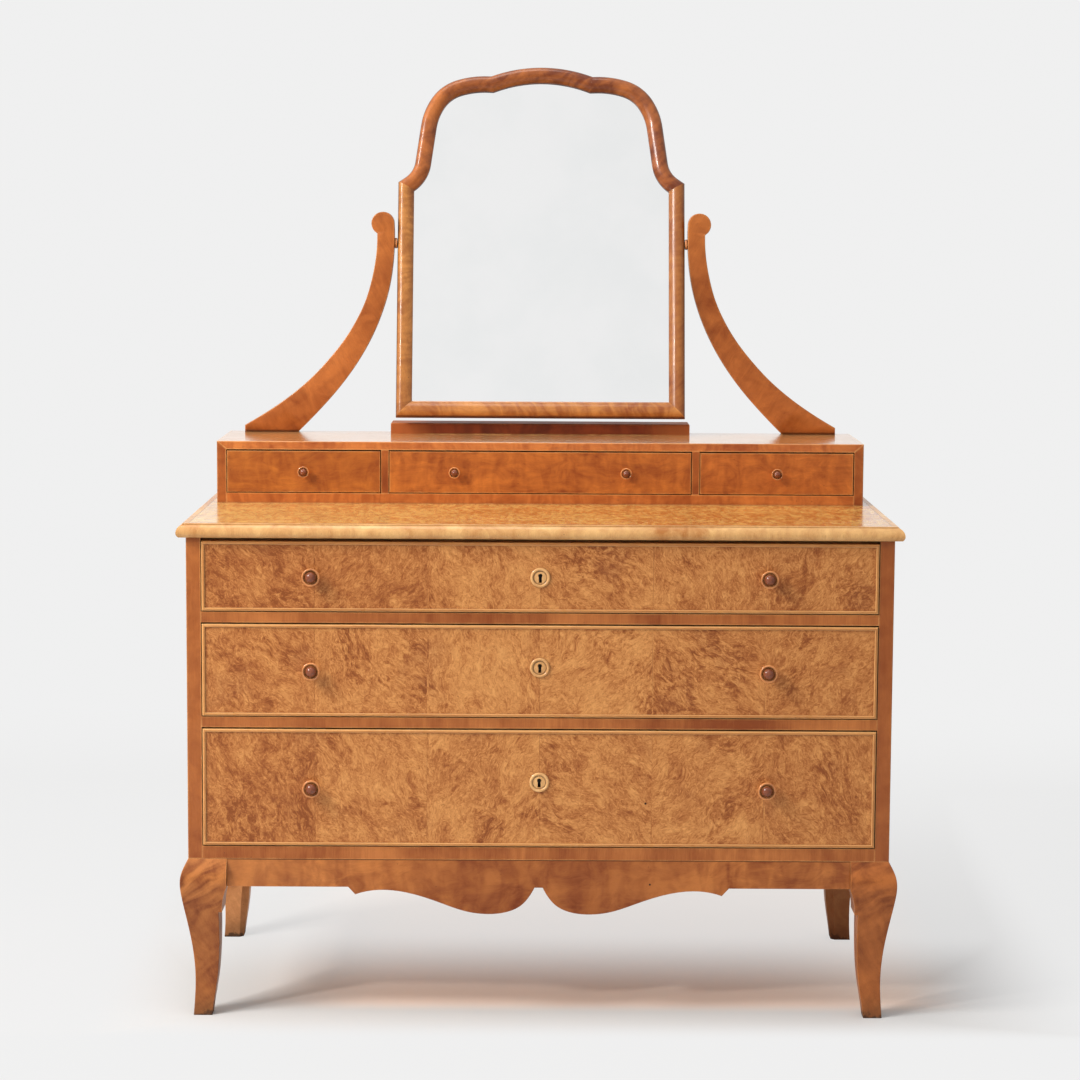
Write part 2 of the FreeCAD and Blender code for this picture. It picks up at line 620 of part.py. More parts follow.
def long_drawer(name):
    """One long drawer: front, bead, box, knobs, escutcheon, lock and bolt."""
    opening = openings[name]
    x = (-HALF_OPENING + GAP_BESIDE_FRONT, HALF_OPENING - GAP_BESIDE_FRONT)
    front_z = opening["front"]
    middle = (front_z[0] + front_z[1]) / 2
    key_z = middle + KEY_RAISE[name]
    lock_top = opening["ceiling"] - GAP_ABOVE_FRONT
    box_z = (opening["floor"] + RUNNING_GAP, opening["ceiling"] - GAP_OVER_BOX)
    boards, sockets = drawer_box(x, (FRONT_THICKNESS, CASE_BACK_FACE - GAP_BEHIND_DRAWER), box_z, LONG_SIDE, LONG_PLY,
                                 LAP)
    strips, rebate = bead_frame(x, front_z)
    knobs = pair(knob(LONG_KNOB_X, middle, 0.0, LONG_KNOB))
    ring = escutcheon(key_z)
    front = block(x, (0, FRONT_THICKNESS), front_z)
    front = front.cut([rebate, ring, keyhole(key_z, (-1, FRONT_THICKNESS + 1))]
                      + sockets + knobs)
    save(name + "_drawer_front", front)
    save(name + "_drawer_bead", *strips)
    save(name + "_drawer_box", *boards)
    save(name + "_drawer_knobs", *knobs)
    save(name + "_escutcheon", ring)
    lock, bolt = drawer_lock(key_z, lock_top)
    save(name + "_lock", *lock)
    save(name + "_lock_bolt", bolt)


def drawer_lock(key_z, lock_top):
    """A case on the back of the front with a key pin, and the bolt that slides up out of it."""
    half = LOCK_WIDTH / 2
    y = (FRONT_THICKNESS, FRONT_THICKNESS + LOCK_DEPTH)
    z = (key_z - LOCK_BELOW_KEY, lock_top)
    hollow = block((-half + LOCK_WALL, half - LOCK_WALL), (y[0] + LOCK_WALL, y[1] - LOCK_WALL),
                   (z[0] + LOCK_WALL, z[1] - LOCK_WALL))
    middle = (y[0] + y[1]) / 2
    bolt_y = (middle - BOLT_THICKNESS / 2, middle + BOLT_THICKNESS / 2)
    slot_half = BOLT_WIDTH / 2 + BOLT_CLEARANCE
    slot = block((-slot_half, slot_half), (bolt_y[0] - BOLT_CLEARANCE, bolt_y[1] + BOLT_CLEARANCE),
                 (z[1] - 2 * LOCK_WALL, z[1] + 1))
    case = block((-half, half), y, z).cut([hollow, slot, keyhole(key_z, (y[0] - 1, y[0] + 2))])
    pin = Part.makeCylinder(KEY_PIN_RADIUS, y[1] - LOCK_WALL - y[0],
                            Vector(0, y[0], key_z + KEYHOLE_PIN_ABOVE), Vector(0, 1, 0))
    foot_low = key_z + BOLT_ABOVE_KEY
    foot = block((-BOLT_FOOT_WIDTH / 2, BOLT_FOOT_WIDTH / 2), bolt_y,
                 (foot_low, foot_low + BOLT_FOOT_HEIGHT))
    tongue = block((-BOLT_WIDTH / 2, BOLT_WIDTH / 2), bolt_y, (foot_low, z[1]))
    talon = Part.makeCylinder(TALON_RADIUS, LOCK_DEPTH, Vector(0, y[0], foot_low),
                              Vector(0, 1, 0))
    return [case, pin], tongue.fuse(foot).removeSplitter().cut(talon)


def small_drawer(name, x, knob_positions):
    """One drawer of the upper unit, given the sides of its opening."""
    x = (x[0] + GAP_BESIDE_FRONT, x[1] - GAP_BESIDE_FRONT)
    front_z = (UPPER_FLOOR + GAP_BELOW_FRONT, UPPER_UNDER_TOP - GAP_ABOVE_FRONT)
    y = (UPPER_FRONT, UPPER_FRONT + SMALL_FRONT_THICKNESS)
    middle = (front_z[0] + front_z[1]) / 2
    box_z = (UPPER_FLOOR + RUNNING_GAP, UPPER_UNDER_TOP - GAP_OVER_BOX)
    boards, sockets = drawer_box(x, (y[1], UPPER_BACK_FACE - SMALL_GAP_BEHIND_DRAWER), box_z, SMALL_SIDE,
                                 SMALL_PLY, UPPER_FRONT + LAP)
    knobs = [knob(position, middle, y[0], SMALL_KNOB) for position in knob_positions]
    front = block(x, y, front_z)
    front = eased(front, SMALL_FRONT_ROUND, lambda box: box.YMax < y[0] + SMALL_FRONT_ROUND)
    save(name + "_front", front.cut(sockets + knobs))
    save(name + "_box", *boards)
    save(name + "_knobs" if len(knobs) > 1 else name + "_knob", *knobs)


# ---- upper unit ----
def upper_carcase():
    """Top and sides mitred together, with rail, floor, dividers and back between them."""

    def board(*corners):
        face = outline(lambda x, z: Vector(x, UPPER_FRONT, z), corners[0],
                       *[("line", corner) for corner in corners[1:]])
        return face.extrude(Vector(0, UPPER_DEPTH, 0))

    top = board((-HALF_UPPER, UPPER_TOP), (HALF_UPPER, UPPER_TOP),
                (HALF_UPPER_OPENING, UPPER_UNDER_TOP), (-HALF_UPPER_OPENING, UPPER_UNDER_TOP))
    side = board((HALF_UPPER, TOP_SURFACE), (HALF_UPPER, UPPER_TOP),
                 (HALF_UPPER_OPENING, UPPER_UNDER_TOP), (HALF_UPPER_OPENING, TOP_SURFACE))
    across = (-HALF_UPPER_OPENING, HALF_UPPER_OPENING)
    rail_end = UPPER_FRONT + UPPER_RAIL_DEPTH
    divider_x = (DIVIDER_X - DIVIDER_THICKNESS / 2, DIVIDER_X + DIVIDER_THICKNESS / 2)
    tongue = block(divider_x, (UPPER_FRONT + DIVIDER_SHOULDER, UPPER_BACK_FACE),
                   (UPPER_UNDER_TOP, UPPER_UNDER_TOP + DIVIDER_TONGUE))
    divider = block(divider_x, (UPPER_FRONT, UPPER_BACK_FACE), (UPPER_FLOOR, UPPER_UNDER_TOP))
    divider = divider.fuse(tongue).removeSplitter()
    top = eased(top, ARRIS, lambda box: box.ZMin > UPPER_TOP - ARRIS
                and box.YMax < UPPER_FRONT + ARRIS)
    side = eased(side, ARRIS, lambda box: box.XMin > HALF_UPPER - ARRIS
                 and box.YMax < UPPER_FRONT + ARRIS)
    save("upper_top", top.cut(pair(divider) + pair(support_tenon())))
    save("upper_sides", *pair(side))
    save("upper_rail", block(across, (UPPER_FRONT, rail_end), (TOP_SURFACE, UPPER_FLOOR)))
    save("upper_floor", block(across, (rail_end, UPPER_BACK_FACE),
                              (UPPER_FLOOR - UPPER_FLOOR_THICKNESS, UPPER_FLOOR)))
    save("upper_dividers", *pair(divider))
    save("upper_back", block(across, (UPPER_BACK_FACE, TOP_BACK), (TOP_SURFACE, UPPER_UNDER_TOP)))


def mirror_ledge():
    """The low strip behind which the supports stand; its upper front edges are eased."""
    half = LEDGE_WIDTH / 2
    ledge = block((-half, half), (TOP_BACK - LEDGE_DEPTH, TOP_BACK),
                  (UPPER_TOP, UPPER_TOP + LEDGE_HEIGHT))
    return eased(ledge, LEDGE_ROUND, lambda box: box.ZMin > UPPER_TOP + LEDGE_ROUND
                 and box.YMin < TOP_BACK - LEDGE_ROUND)


def support_tenon():
    """The tenon under the right-hand support, let into the top of the upper unit."""
    half = SUPPORT_TENON_THICKNESS / 2
    return block((SUPPORT_HEEL + SUPPORT_TENON_SHOULDER, SUPPORT_FOOT - SUPPORT_TENON_SHOULDER),
                 (PIVOT_Y - half, PIVOT_Y + half), (UPPER_TOP - SUPPORT_TENON_DEPTH, UPPER_TOP))


def support():
    """A tapering curved board with a scroll at its head; the right-hand one, bored for a pin."""
    outer = [(x, UPPER_TOP + height) for x, height in SUPPORT_OUTER]
    inner = [(x, UPPER_TOP + height) for x, height in SUPPORT_INNER]
    centre = UPPER_TOP + SCROLL_HEIGHT
    board = outline(lambda x, z: Vector(x, SUPPORT_Y[0], z), (SUPPORT_FOOT, UPPER_TOP),
                    ("line", (SUPPORT_FOOT, UPPER_TOP + SUPPORT_TOE)),
                    ("curve", *outer),
                    ("line", (SCROLL_X, centre)),
                    ("line", inner[0]),
                    ("curve", *inner[1:], (SUPPORT_HEEL, UPPER_TOP)))
    board = board.extrude(Vector(0, SUPPORT_THICKNESS, 0))
    scroll = Part.makeCylinder(SCROLL_RADIUS, SUPPORT_THICKNESS,
                               Vector(SCROLL_X, SUPPORT_Y[0], centre), Vector(0, 1, 0))
    board = board.fuse([scroll, support_tenon()]).removeSplitter().Solids[0]
    board = eased(board, ARRIS, lambda box: box.YLength < ARRIS and box.ZMin > UPPER_TOP - ARRIS
                  and box.ZLength > ARRIS)
    return board.cut(pivot_pin())


def pivot_pin():
    """A pin with a collar, fast in the right-hand support and running in the mirror frame."""
    face = collar_faces()
    start = HALF_MIRROR - PIVOT_INTO_FRAME
    pin = outline(lambda x, radius: Vector(x, PIVOT_Y, PIVOT_Z + radius), (start, 0.0),
                  ("line", (start, PIVOT_RADIUS - PIN_CHAMFER)),
                  ("line", (start + PIN_CHAMFER, PIVOT_RADIUS)),
                  ("line", (face[0], PIVOT_RADIUS)),
                  ("line", (face[0], COLLAR_RADIUS - COLLAR_ROUND)),
                  ("arc", ((face[0] + face[1]) / 2, COLLAR_RADIUS),
                   (face[1], COLLAR_RADIUS - COLLAR_ROUND)),
                  ("line", (face[1], PIVOT_RADIUS)),
                  ("line", (face[1] + PIVOT_INTO_SUPPORT, PIVOT_RADIUS)),
                  ("line", (face[1] + PIVOT_INTO_SUPPORT, 0.0)))
    return pin.revolve(Vector(0, PIVOT_Y, PIVOT_Z), Vector(1, 0, 0), 360)


def collar_faces():
    """The collar fills the space between the mirror frame and the support, less a gap."""
    inner_edge = max(SUPPORT_INNER[0][0], SUPPORT_INNER[1][0])
    return (HALF_MIRROR + COLLAR_GAP, inner_edge)


# ---- mirror ----
def heading_vector(heading):
    angle = math.radians(heading)
    return Vector(math.cos(angle), 0, math.sin(angle))


def outward(heading):
    """The outer side of the frame, for a path that runs anticlockwise seen from the front."""
    angle = math.radians(heading)
    return Vector(math.sin(angle), 0, -math.cos(angle))


def trace(start, heading, segments, offset=0.0, lead_in=0.0, lead_out=0.0):
    """Edges of a path of lines and arcs, shifted outward by offset, with its end and heading."""
    edges = []
    here = start
    last = len(segments) - 1
    for number, (kind, *sizes) in enumerate(segments):
        shift = outward(heading) * offset
        if kind == "line":
            ahead = heading_vector(heading)
            there = here + ahead * sizes[0]
            first = here - ahead * (lead_in if number == 0 else 0.0)
            final = there + ahead * (lead_out if number == last else 0.0)
            edges.append(Part.makeLine(first + shift, final + shift))
        else:
            radius, turn = sizes
            side = 1.0 if turn > 0 else -1.0
            centre = here - outward(heading) * (side * radius)
            points = []
            for share in (0.0, 0.5, 1.0):
                spoke = outward(heading + share * turn) * side
                points.append(centre + spoke * (radius + side * offset))
            edges.append(Part.Arc(*points).toShape())
            heading += turn
            there = centre + outward(heading) * (side * radius)
        here = there
    return edges, here, heading


def frame_layout():
    """The middle line of the frame's right half: each piece's start, heading and segments."""
    side = HALF_MIRROR - HALF_FRAME
    bottom = HALF_FRAME - MIRROR_BELOW_PIVOT
    stile_length = SHOULDER_ABOVE_PIVOT - bottom
    shoulder_start = Vector(side, 0, SHOULDER_ABOVE_PIVOT)
    crest_start, turned_to = trace(shoulder_start, SHOULDER_HEADING_DEG, SHOULDER)[1:]
    slope = math.radians(CREST_SLOPE_DEG)
    crest_radius = (crest_start.x - CREST_END * math.cos(slope)) / math.sin(slope)
    half_crest = [("line", CREST_END), ("arc", crest_radius, CREST_SLOPE_DEG)]
    return {
        "rail": (Vector(0, 0, bottom), 0.0, [("line", side)]),
        "stile": (Vector(side, 0, bottom), 90.0, [("line", stile_length)]),
        "shoulder": (shoulder_start, SHOULDER_HEADING_DEG, SHOULDER),
        "crest": (crest_start, 180.0 - CREST_SLOPE_DEG, half_crest),
        "turned_to": turned_to,
    }


def frame_section(start, heading):
    """The moulding's section: half-round in front, a rebate for the glass behind."""
    rebate = HALF_FRAME - REBATE_WIDTH
    crown = 0.2 * HALF_FRAME

    def place(out, depth):
        return start + outward(heading) * out + Vector(0, depth - PIVOT_DEPTH, 0)

    return outline(place, (HALF_FRAME, FRAME_DEPTH),
                   ("line", (HALF_FRAME, FRAME_EDGE)),
                   ("arc", (0.80 * HALF_FRAME, 0.30 * FRAME_EDGE), (crown, 0.0)),
                   ("arc", (-0.50 * HALF_FRAME, 0.29 * FRAME_INNER_EDGE),
                    (-HALF_FRAME, FRAME_INNER_EDGE)),
                   ("line", (-HALF_FRAME, FRAME_LIP)),
                   ("line", (-rebate, FRAME_LIP)),
                   ("line", (-rebate, FRAME_DEPTH)))


def frame_piece(start, heading, segments, mitre_in, mitre_out):
    """Run the section along a path and cut both ends to mitres at the given headings."""
    extra = 2 * FRAME_WIDTH
    edges, end, heading_out = trace(start, heading, segments, 0.0, extra, extra)
    first = start - heading_vector(heading) * extra
    wire = Part.Wire(edges)
    section = frame_section(first, heading)
    if len(edges) == 1:
        piece = section.extrude(edges[0].Vertexes[-1].Point - edges[0].Vertexes[0].Point)
    else:
        piece = wire.makePipeShell([section.OuterWire], True, False)
    reach = 2 * extra
    if mitre_in is not None:
        piece = cut_beyond(piece, start, heading_vector(mitre_in) * -1, reach)
    if mitre_out is not None:
        piece = cut_beyond(piece, end, heading_vector(mitre_out), reach)
    return piece


def frame_contour(offset):
    """The closed outline of the frame at an offset from its middle line, as a flat face."""
    layout = frame_layout()
    turned_to = layout["turned_to"]
    corner = offset
    stile_top = offset * math.tan(math.radians((SHOULDER_HEADING_DEG - 90.0) / 2))
    crest_turn = (180.0 - CREST_SLOPE_DEG) - turned_to
    crest = offset * math.tan(math.radians(crest_turn / 2))
    leads = {"rail": (0.0, corner), "stile": (corner, stile_top),
             "shoulder": (stile_top, crest), "crest": (crest, 0.0)}
    edges = []
    for name, (lead_in, lead_out) in leads.items():
        start, heading, segments = layout[name]
        edges += trace(start, heading, segments, offset, lead_in, lead_out)[0]
    edges += [mirrored(edge) for edge in edges]
    return Part.Face(Part.Wire(Part.__sortEdges__(edges)))


def hang(shape):
    """Move a piece drawn upright about its pivots to where the tilted mirror holds it."""
    shape = shape.copy()
    shape.rotate(Vector(0, 0, 0), Vector(1, 0, 0), -TILT_AT_REST_DEG)
    shape.translate(Vector(0, PIVOT_Y, PIVOT_Z))
    return shape


def mirror():
    """Frame in mitred pieces, glass against its rebate and a board behind the glass."""
    layout = frame_layout()
    mitre_bottom = 45.0
    mitre_shoulder = (90.0 + SHOULDER_HEADING_DEG) / 2
    mitre_crest = (layout["turned_to"] + 180.0 - CREST_SLOPE_DEG) / 2

    rail_start, _, _ = layout["rail"]
    full_rail = [("line", 2 * (HALF_MIRROR - HALF_FRAME))]
    left_corner = Vector(-(HALF_MIRROR - HALF_FRAME), 0, rail_start.z)
    rail = frame_piece(left_corner, 0.0, full_rail, -mitre_bottom, mitre_bottom)

    stile = frame_piece(*layout["stile"], mitre_bottom, mitre_shoulder)
    bore = Part.makeCylinder(PIVOT_RADIUS + PIVOT_CLEARANCE, PIVOT_INTO_FRAME + 1.0,
                             Vector(HALF_MIRROR - PIVOT_INTO_FRAME - 0.5, 0, 0),
                             Vector(1, 0, 0))
    stile = stile.cut(bore)
    shoulder = frame_piece(*layout["shoulder"], mitre_shoulder, mitre_crest)

    crest_start, crest_heading, half_crest = layout["crest"]
    end_line, half_arc = half_crest
    whole_crest = [end_line, ("arc", half_arc[1], 2 * half_arc[2]), end_line]
    crest = frame_piece(crest_start, crest_heading, whole_crest, mitre_crest,
                        360.0 - mitre_crest)

    edge = -(HALF_FRAME - REBATE_WIDTH + GLASS_GAP)
    sheet = frame_contour(edge)
    glass = sheet.extrude(Vector(0, GLASS_THICKNESS, 0))
    glass.translate(Vector(0, FRAME_LIP - PIVOT_DEPTH, 0))
    board = sheet.extrude(Vector(0, BACKBOARD_THICKNESS, 0))
    board.translate(Vector(0, FRAME_LIP + GLASS_THICKNESS - PIVOT_DEPTH, 0))

    save("mirror_bottom_rail", hang(rail))
    save("mirror_stiles", *[hang(piece) for piece in pair(stile)])
    save("mirror_shoulders", *[hang(piece) for piece in pair(shoulder)])
    save("mirror_crest", hang(crest))
    save("mirror_glass", hang(glass))
    save("mirror_backboard", hang(board))


def middle_of_depth():
    """Halfway between the foremost and the rearmost point of the whole piece."""
    tilt = math.radians(TILT_AT_REST_DEG)
    crest_start, crest_heading, half_crest = frame_layout()["crest"]
    crest_top = trace(crest_start, crest_heading, half_crest)[1].z + HALF_FRAME
    crest_back = (PIVOT_Y + crest_top * math.sin(tilt)
                  + (FRAME_DEPTH - PIVOT_DEPTH) * math.cos(tilt))
    front = min(-LONG_KNOB["reach"], -TOP_FRONT_OVERHANG, -KNEE_BULGE)
    return (front + max(crest_back, TOP_BACK)) / 2


MID_DEPTH = middle_of_depth()


def save(name, *solids):
    """Write one node, moved so that y = 0 is the middle of the depth."""
    group = solids[0] if len(solids) == 1 else Part.makeCompound(list(solids))
    group = group.copy()
    group.translate(Vector(0, -MID_DEPTH, 0))
    group.exportStep("parts/" + name + ".step")


# ---- everything, from the floor up ----
os.makedirs("parts", exist_ok=True)

right_front = front_leg()
right_back = back_leg()
save("front_leg_left", mirrored(right_front))
save("front_leg_right", right_front)
save("back_legs", *pair(right_back))
save("front_apron", front_apron())
save("base_rails", *base_rails())

side_height = (BASE_TOP, CASE_TOP)
right_side = block((HALF_OPENING, HALF_CASE), (0, CASE_DEPTH), side_height)
right_side = eased(right_side, ARRIS, lambda box: box.XMin > HALF_CASE - ARRIS and box.YMax < ARRIS)
rails_by_node = case_rails()
for node, rails in rails_by_node.items():
    right_side = right_side.cut(rails)
    save(node, *rails)
save("case_sides", *pair(right_side))
save("case_back", block((-HALF_OPENING, HALF_OPENING), (CASE_BACK_FACE, CASE_DEPTH), side_height))
save("case_bottom", block((-HALF_OPENING, HALF_OPENING), (RAIL_DEPTH, CASE_BACK_FACE),
                          (BASE_TOP, BASE_TOP + BOTTOM_THICKNESS)))
save("drawer_runners", *drawer_runners())
save("main_top", main_top())
save("top_edging", *top_edging())

for drawer_name in openings:
    long_drawer(drawer_name)

upper_carcase()
divider_faces = (DIVIDER_X - DIVIDER_THICKNESS / 2, DIVIDER_X + DIVIDER_THICKNESS / 2)
side_knob = (divider_faces[1] + HALF_UPPER_OPENING) / 2
small_drawer("small_drawer_left", (-HALF_UPPER_OPENING, -divider_faces[1]), [-side_knob])
small_drawer("small_drawer_middle", (-divider_faces[0], divider_faces[0]),
             [-SMALL_KNOB_X, SMALL_KNOB_X])
small_drawer("small_drawer_right", (divider_faces[1], HALF_UPPER_OPENING), [side_knob])

save("mirror_ledge", mirror_ledge())
right_support = support()
save("support_left", mirrored(right_support))
save("support_right", right_support)
save("pivot_pins", *pair(pivot_pin()))
mirror()
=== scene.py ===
import math

import bmesh
import bpy
from mathutils import Matrix, Vector


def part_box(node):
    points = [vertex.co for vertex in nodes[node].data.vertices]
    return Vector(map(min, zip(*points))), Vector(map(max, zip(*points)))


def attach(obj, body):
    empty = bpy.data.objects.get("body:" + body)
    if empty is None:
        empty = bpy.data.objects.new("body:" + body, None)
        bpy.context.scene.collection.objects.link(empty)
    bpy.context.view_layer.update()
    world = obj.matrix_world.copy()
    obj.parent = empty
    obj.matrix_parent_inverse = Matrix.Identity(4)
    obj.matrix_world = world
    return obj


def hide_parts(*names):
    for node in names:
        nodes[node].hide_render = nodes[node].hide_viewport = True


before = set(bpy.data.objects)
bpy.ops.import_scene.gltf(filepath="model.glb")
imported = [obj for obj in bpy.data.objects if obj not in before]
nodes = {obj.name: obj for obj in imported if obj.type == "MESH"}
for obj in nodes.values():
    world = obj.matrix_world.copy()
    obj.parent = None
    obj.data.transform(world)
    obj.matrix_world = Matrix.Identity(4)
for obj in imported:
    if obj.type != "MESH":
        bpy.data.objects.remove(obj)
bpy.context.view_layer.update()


# ---- Legs -------------------------------------------------------------------------------------
# Four bowed legs, each sawn from one block of solid birch, stained red-brown and varnished.
# The outer arrises are rubbed pale, and the soles are grey with floor dirt.

def add(tree, kind, inputs=None, **settings):
    """One shader node: inputs take numbers or the sockets that feed them."""
    node = tree.nodes.new(kind)
    for name, value in settings.items():
        setattr(node, name, value)
    for key, value in (inputs or {}).items():
        if isinstance(value, bpy.types.NodeSocket):
            tree.links.new(value, node.inputs[key])
        else:
            node.inputs[key].default_value = value
    return node


def calc(tree, operation, *values, clamp=False):
    node = add(tree, "ShaderNodeMath", dict(enumerate(values)), operation=operation, use_clamp=clamp)
    return node.outputs[0]


def times(tree, first, second):
    return calc(tree, "MULTIPLY", first, second)


def lift(tree, value, strength, level, **settings):
    """Level, raised by a value."""
    return calc(tree, "MULTIPLY_ADD", value, strength, level, **settings)


def sway(tree, value, strength, level, **settings):
    """Level, raised or lowered as a value lies over or under its middle."""
    return lift(tree, calc(tree, "SUBTRACT", value, 0.5), strength, level, **settings)


def along(tree, operation, *values):
    """Vector arithmetic."""
    node = add(tree, "ShaderNodeVectorMath", dict(enumerate(values)), operation=operation)
    return node.outputs["Value" if operation in ("LENGTH", "DOT_PRODUCT", "DISTANCE") else "Vector"]


def scaled(tree, place, sizes):
    return along(tree, "MULTIPLY", place, sizes)


def spread(tree, value, low, high, first=0.0, last=1.0, soft=True):
    """Value, brought from low..high to first..last."""
    node = add(tree, "ShaderNodeMapRange", {0: value, 1: low, 2: high, 3: first, 4: last},
               interpolation_type="SMOOTHSTEP" if soft else "LINEAR")
    return node.outputs[0]


def mix(tree, amount, first, second):
    return add(tree, "ShaderNodeMix", {0: amount, 6: first, 7: second}, data_type="RGBA").outputs[2]


def stain(tree, colour, second, mask, strength):
    """A second colour laid over the first where the mask shows."""
    return mix(tree, times(tree, mask, strength), colour, second)


def here(tree):
    """Where a point lies on the object, in metres."""
    return add(tree, "ShaderNodeTexCoord").outputs["Object"]


def axis(tree, place, name):
    return add(tree, "ShaderNodeSeparateXYZ", {"Vector": place}).outputs[name]


def vector(tree, x=0.0, y=0.0, z=0.0):
    return add(tree, "ShaderNodeCombineXYZ", {"X": x, "Y": y, "Z": z}).outputs["Vector"]


def on_right(tree, most):
    """Nothing on the object's left half, most on its right half."""
    return spread(tree, axis(tree, here(tree), "X"), -0.1, 0.1, 0.0, most)


def noise(tree, place, scale, detail=3.0, roughness=0.5, twist=0.0, part="Fac"):
    node = add(tree, "ShaderNodeTexNoise", {"Vector": place, "Scale": scale, "Detail": detail,
                                            "Roughness": roughness, "Distortion": twist})
    return node.outputs[part]


def bent_by(tree, place, scale, reach):
    """A place, shifted this way and that by soft noise."""
    drift = along(tree, "SUBTRACT", noise(tree, place, scale, 2.0, 0.5, part="Color"), (0.5, 0.5, 0.5))
    return along(tree, "ADD", place, scaled(tree, drift, (reach, reach, reach)))


def tint(red, green, blue):
    """A stain or varnish colour, given as it is seen, 0 to 255."""
    seen = [value / 255 for value in (red, green, blue)]
    return tuple(v / 12.92 if v <= 0.04045 else ((v + 0.055) / 1.055) ** 2.4 for v in seen) + (1.0,)


def recipe(name, **sizes):
    """An empty shader group, for an effect that several finishes share. It takes a place."""
    tree = bpy.data.node_groups.new(name, "ShaderNodeTree")
    tree.interface.new_socket("Position", in_out="INPUT", socket_type="NodeSocketVector")
    for label, start in sizes.items():
        socket = tree.interface.new_socket(label, in_out="INPUT", socket_type="NodeSocketFloat")
        socket.default_value = start
    given = tree.nodes.new("NodeGroupInput").outputs
    return tree, given, given["Position"]


def give(tree, **values):
    """The values that a shader group puts out."""
    for label in values:
        tree.interface.new_socket(label, in_out="OUTPUT", socket_type="NodeSocketFloat")
    out = tree.nodes.new("NodeGroupOutput")
    for label, value in values.items():
        tree.links.new(value, out.inputs[label])
    return tree


def use(tree, group, **values):
    """A shared group placed in a finish."""
    return add(tree, "ShaderNodeGroup", values, node_tree=group).outputs


def make_straight_grain():
    """Fibres and pores of straight wood. The grain runs along the place's Z."""
    tree, given, place = recipe("straight grain", Fibre=0.0008)
    stretched = scaled(tree, place, (1.0, 1.0, 0.03))
    fine = calc(tree, "DIVIDE", 1.0, given["Fibre"])
    fibres = noise(tree, stretched, fine, 4.0, 0.6, 0.3)
    bands = noise(tree, stretched, 55.0, 3.0, 0.5, 0.8)
    short = scaled(tree, place, (1.0, 1.0, 0.11))
    pores = spread(tree, noise(tree, short, 1900.0, 1.0, 0.4), 0.66, 0.76)
    height = calc(tree, "SUBTRACT", fibres, times(tree, pores, 0.8))
    return give(tree, Fibres=fibres, Bands=bands, Pores=pores, Height=height)


def make_flame():
    """The curly flame of birch: soft bands across the place's Z, clouds and marbling."""
    tree, given, place = recipe("birch flame", Width=0.016)
    moved = bent_by(tree, place, 11.0, 0.05)
    squeezed = scaled(tree, moved, (0.3, 0.3, 1.0))
    wide = calc(tree, "DIVIDE", 1.0, given["Width"])
    flame = spread(tree, noise(tree, squeezed, wide, 2.0, 0.55, 0.4), 0.3, 0.7)
    clouds = noise(tree, moved, 7.0, 3.0, 0.55, 0.5)
    marble = noise(tree, scaled(tree, moved, (1.0, 1.0, 0.5)), 38.0, 7.0, 0.68, 0.9)
    return give(tree, Flame=flame, Clouds=clouds, Marble=marble)


def make_wear_grime_and_shade():
    """Arrises rubbed pale by hands and cloths, small chips, and creases darkened: grime and painted shade.
    """
    tree, given, place = recipe("wear grime and shade", Reach=0.002)
    rounded = add(tree, "ShaderNodeBevel", {"Radius": given["Reach"]}, samples=4)
    plain = add(tree, "ShaderNodeNewGeometry")
    same = along(tree, "DOT_PRODUCT", rounded.outputs["Normal"], plain.outputs["Normal"])
    edge = spread(tree, same, 0.99, 0.88)
    patchy = spread(tree, noise(tree, place, 34.0, 4.0, 0.65), 0.36, 0.62, 0.35, 1.0)
    rub = times(tree, edge, patchy)
    bites = spread(tree, noise(tree, place, 210.0, 2.0, 0.6), 0.66, 0.72)
    where = spread(tree, noise(tree, place, 21.0, 2.0, 0.5), 0.55, 0.68)
    chip = times(tree, times(tree, edge, bites), where)
    # The darkening in corners and creases follows ambient occlusion: partly grime, partly painted shade.
    open_to = add(tree, "ShaderNodeAmbientOcclusion", {"Distance": 0.005}, samples=4)
    grime_and_shade = spread(tree, open_to.outputs["AO"], 0.85, 0.45)
    return give(tree, Rub=rub, Chip=chip, Grime=grime_and_shade)


def make_old_surface():
    """Age on varnish: soft mottling, hairline scratches and small dark specks."""
    tree, _, place = recipe("old surface")
    mottle = noise(tree, place, 16.0, 5.0, 0.6, 0.3)
    turned = add(tree, "ShaderNodeMapping", {"Vector": place, "Rotation": (0.4, 0.9, 0.2),
                                             "Scale": (1.0, 1.0, 0.02)})
    lines = spread(tree, noise(tree, turned.outputs["Vector"], 900.0, 1.0, 0.4), 0.72, 0.78)
    parted = spread(tree, noise(tree, place, 26.0, 2.0, 0.5), 0.5, 0.62)
    scratches = times(tree, lines, parted)
    cells = add(tree, "ShaderNodeTexVoronoi", {"Vector": place, "Scale": 95.0, "Randomness": 1.0})
    rare = add(tree, "ShaderNodeSeparateColor", {"Color": cells.outputs["Color"]})
    near = spread(tree, cells.outputs["Distance"], 0.10, 0.05)
    specks = times(tree, near, spread(tree, rare.outputs[0], 0.86, 0.9))
    return give(tree, Mottle=mottle, Scratches=scratches, Specks=specks)


straight_grain = make_straight_grain()
birch_flame = make_flame()
wear_grime_and_shade = make_wear_grime_and_shade()
old_surface = make_old_surface()

GRAIN_ALONG = {"z": (0.0, 0.0, 0.0), "x": (0.0, -math.pi / 2, 0.0), "y": (math.pi / 2, 0.0, 0.0)}


def finish(name):
    """A new, empty finish and its node tree."""
    material = bpy.data.materials.new(name)
    material.use_nodes = True
    material.node_tree.nodes.clear()
    return material, material.node_tree


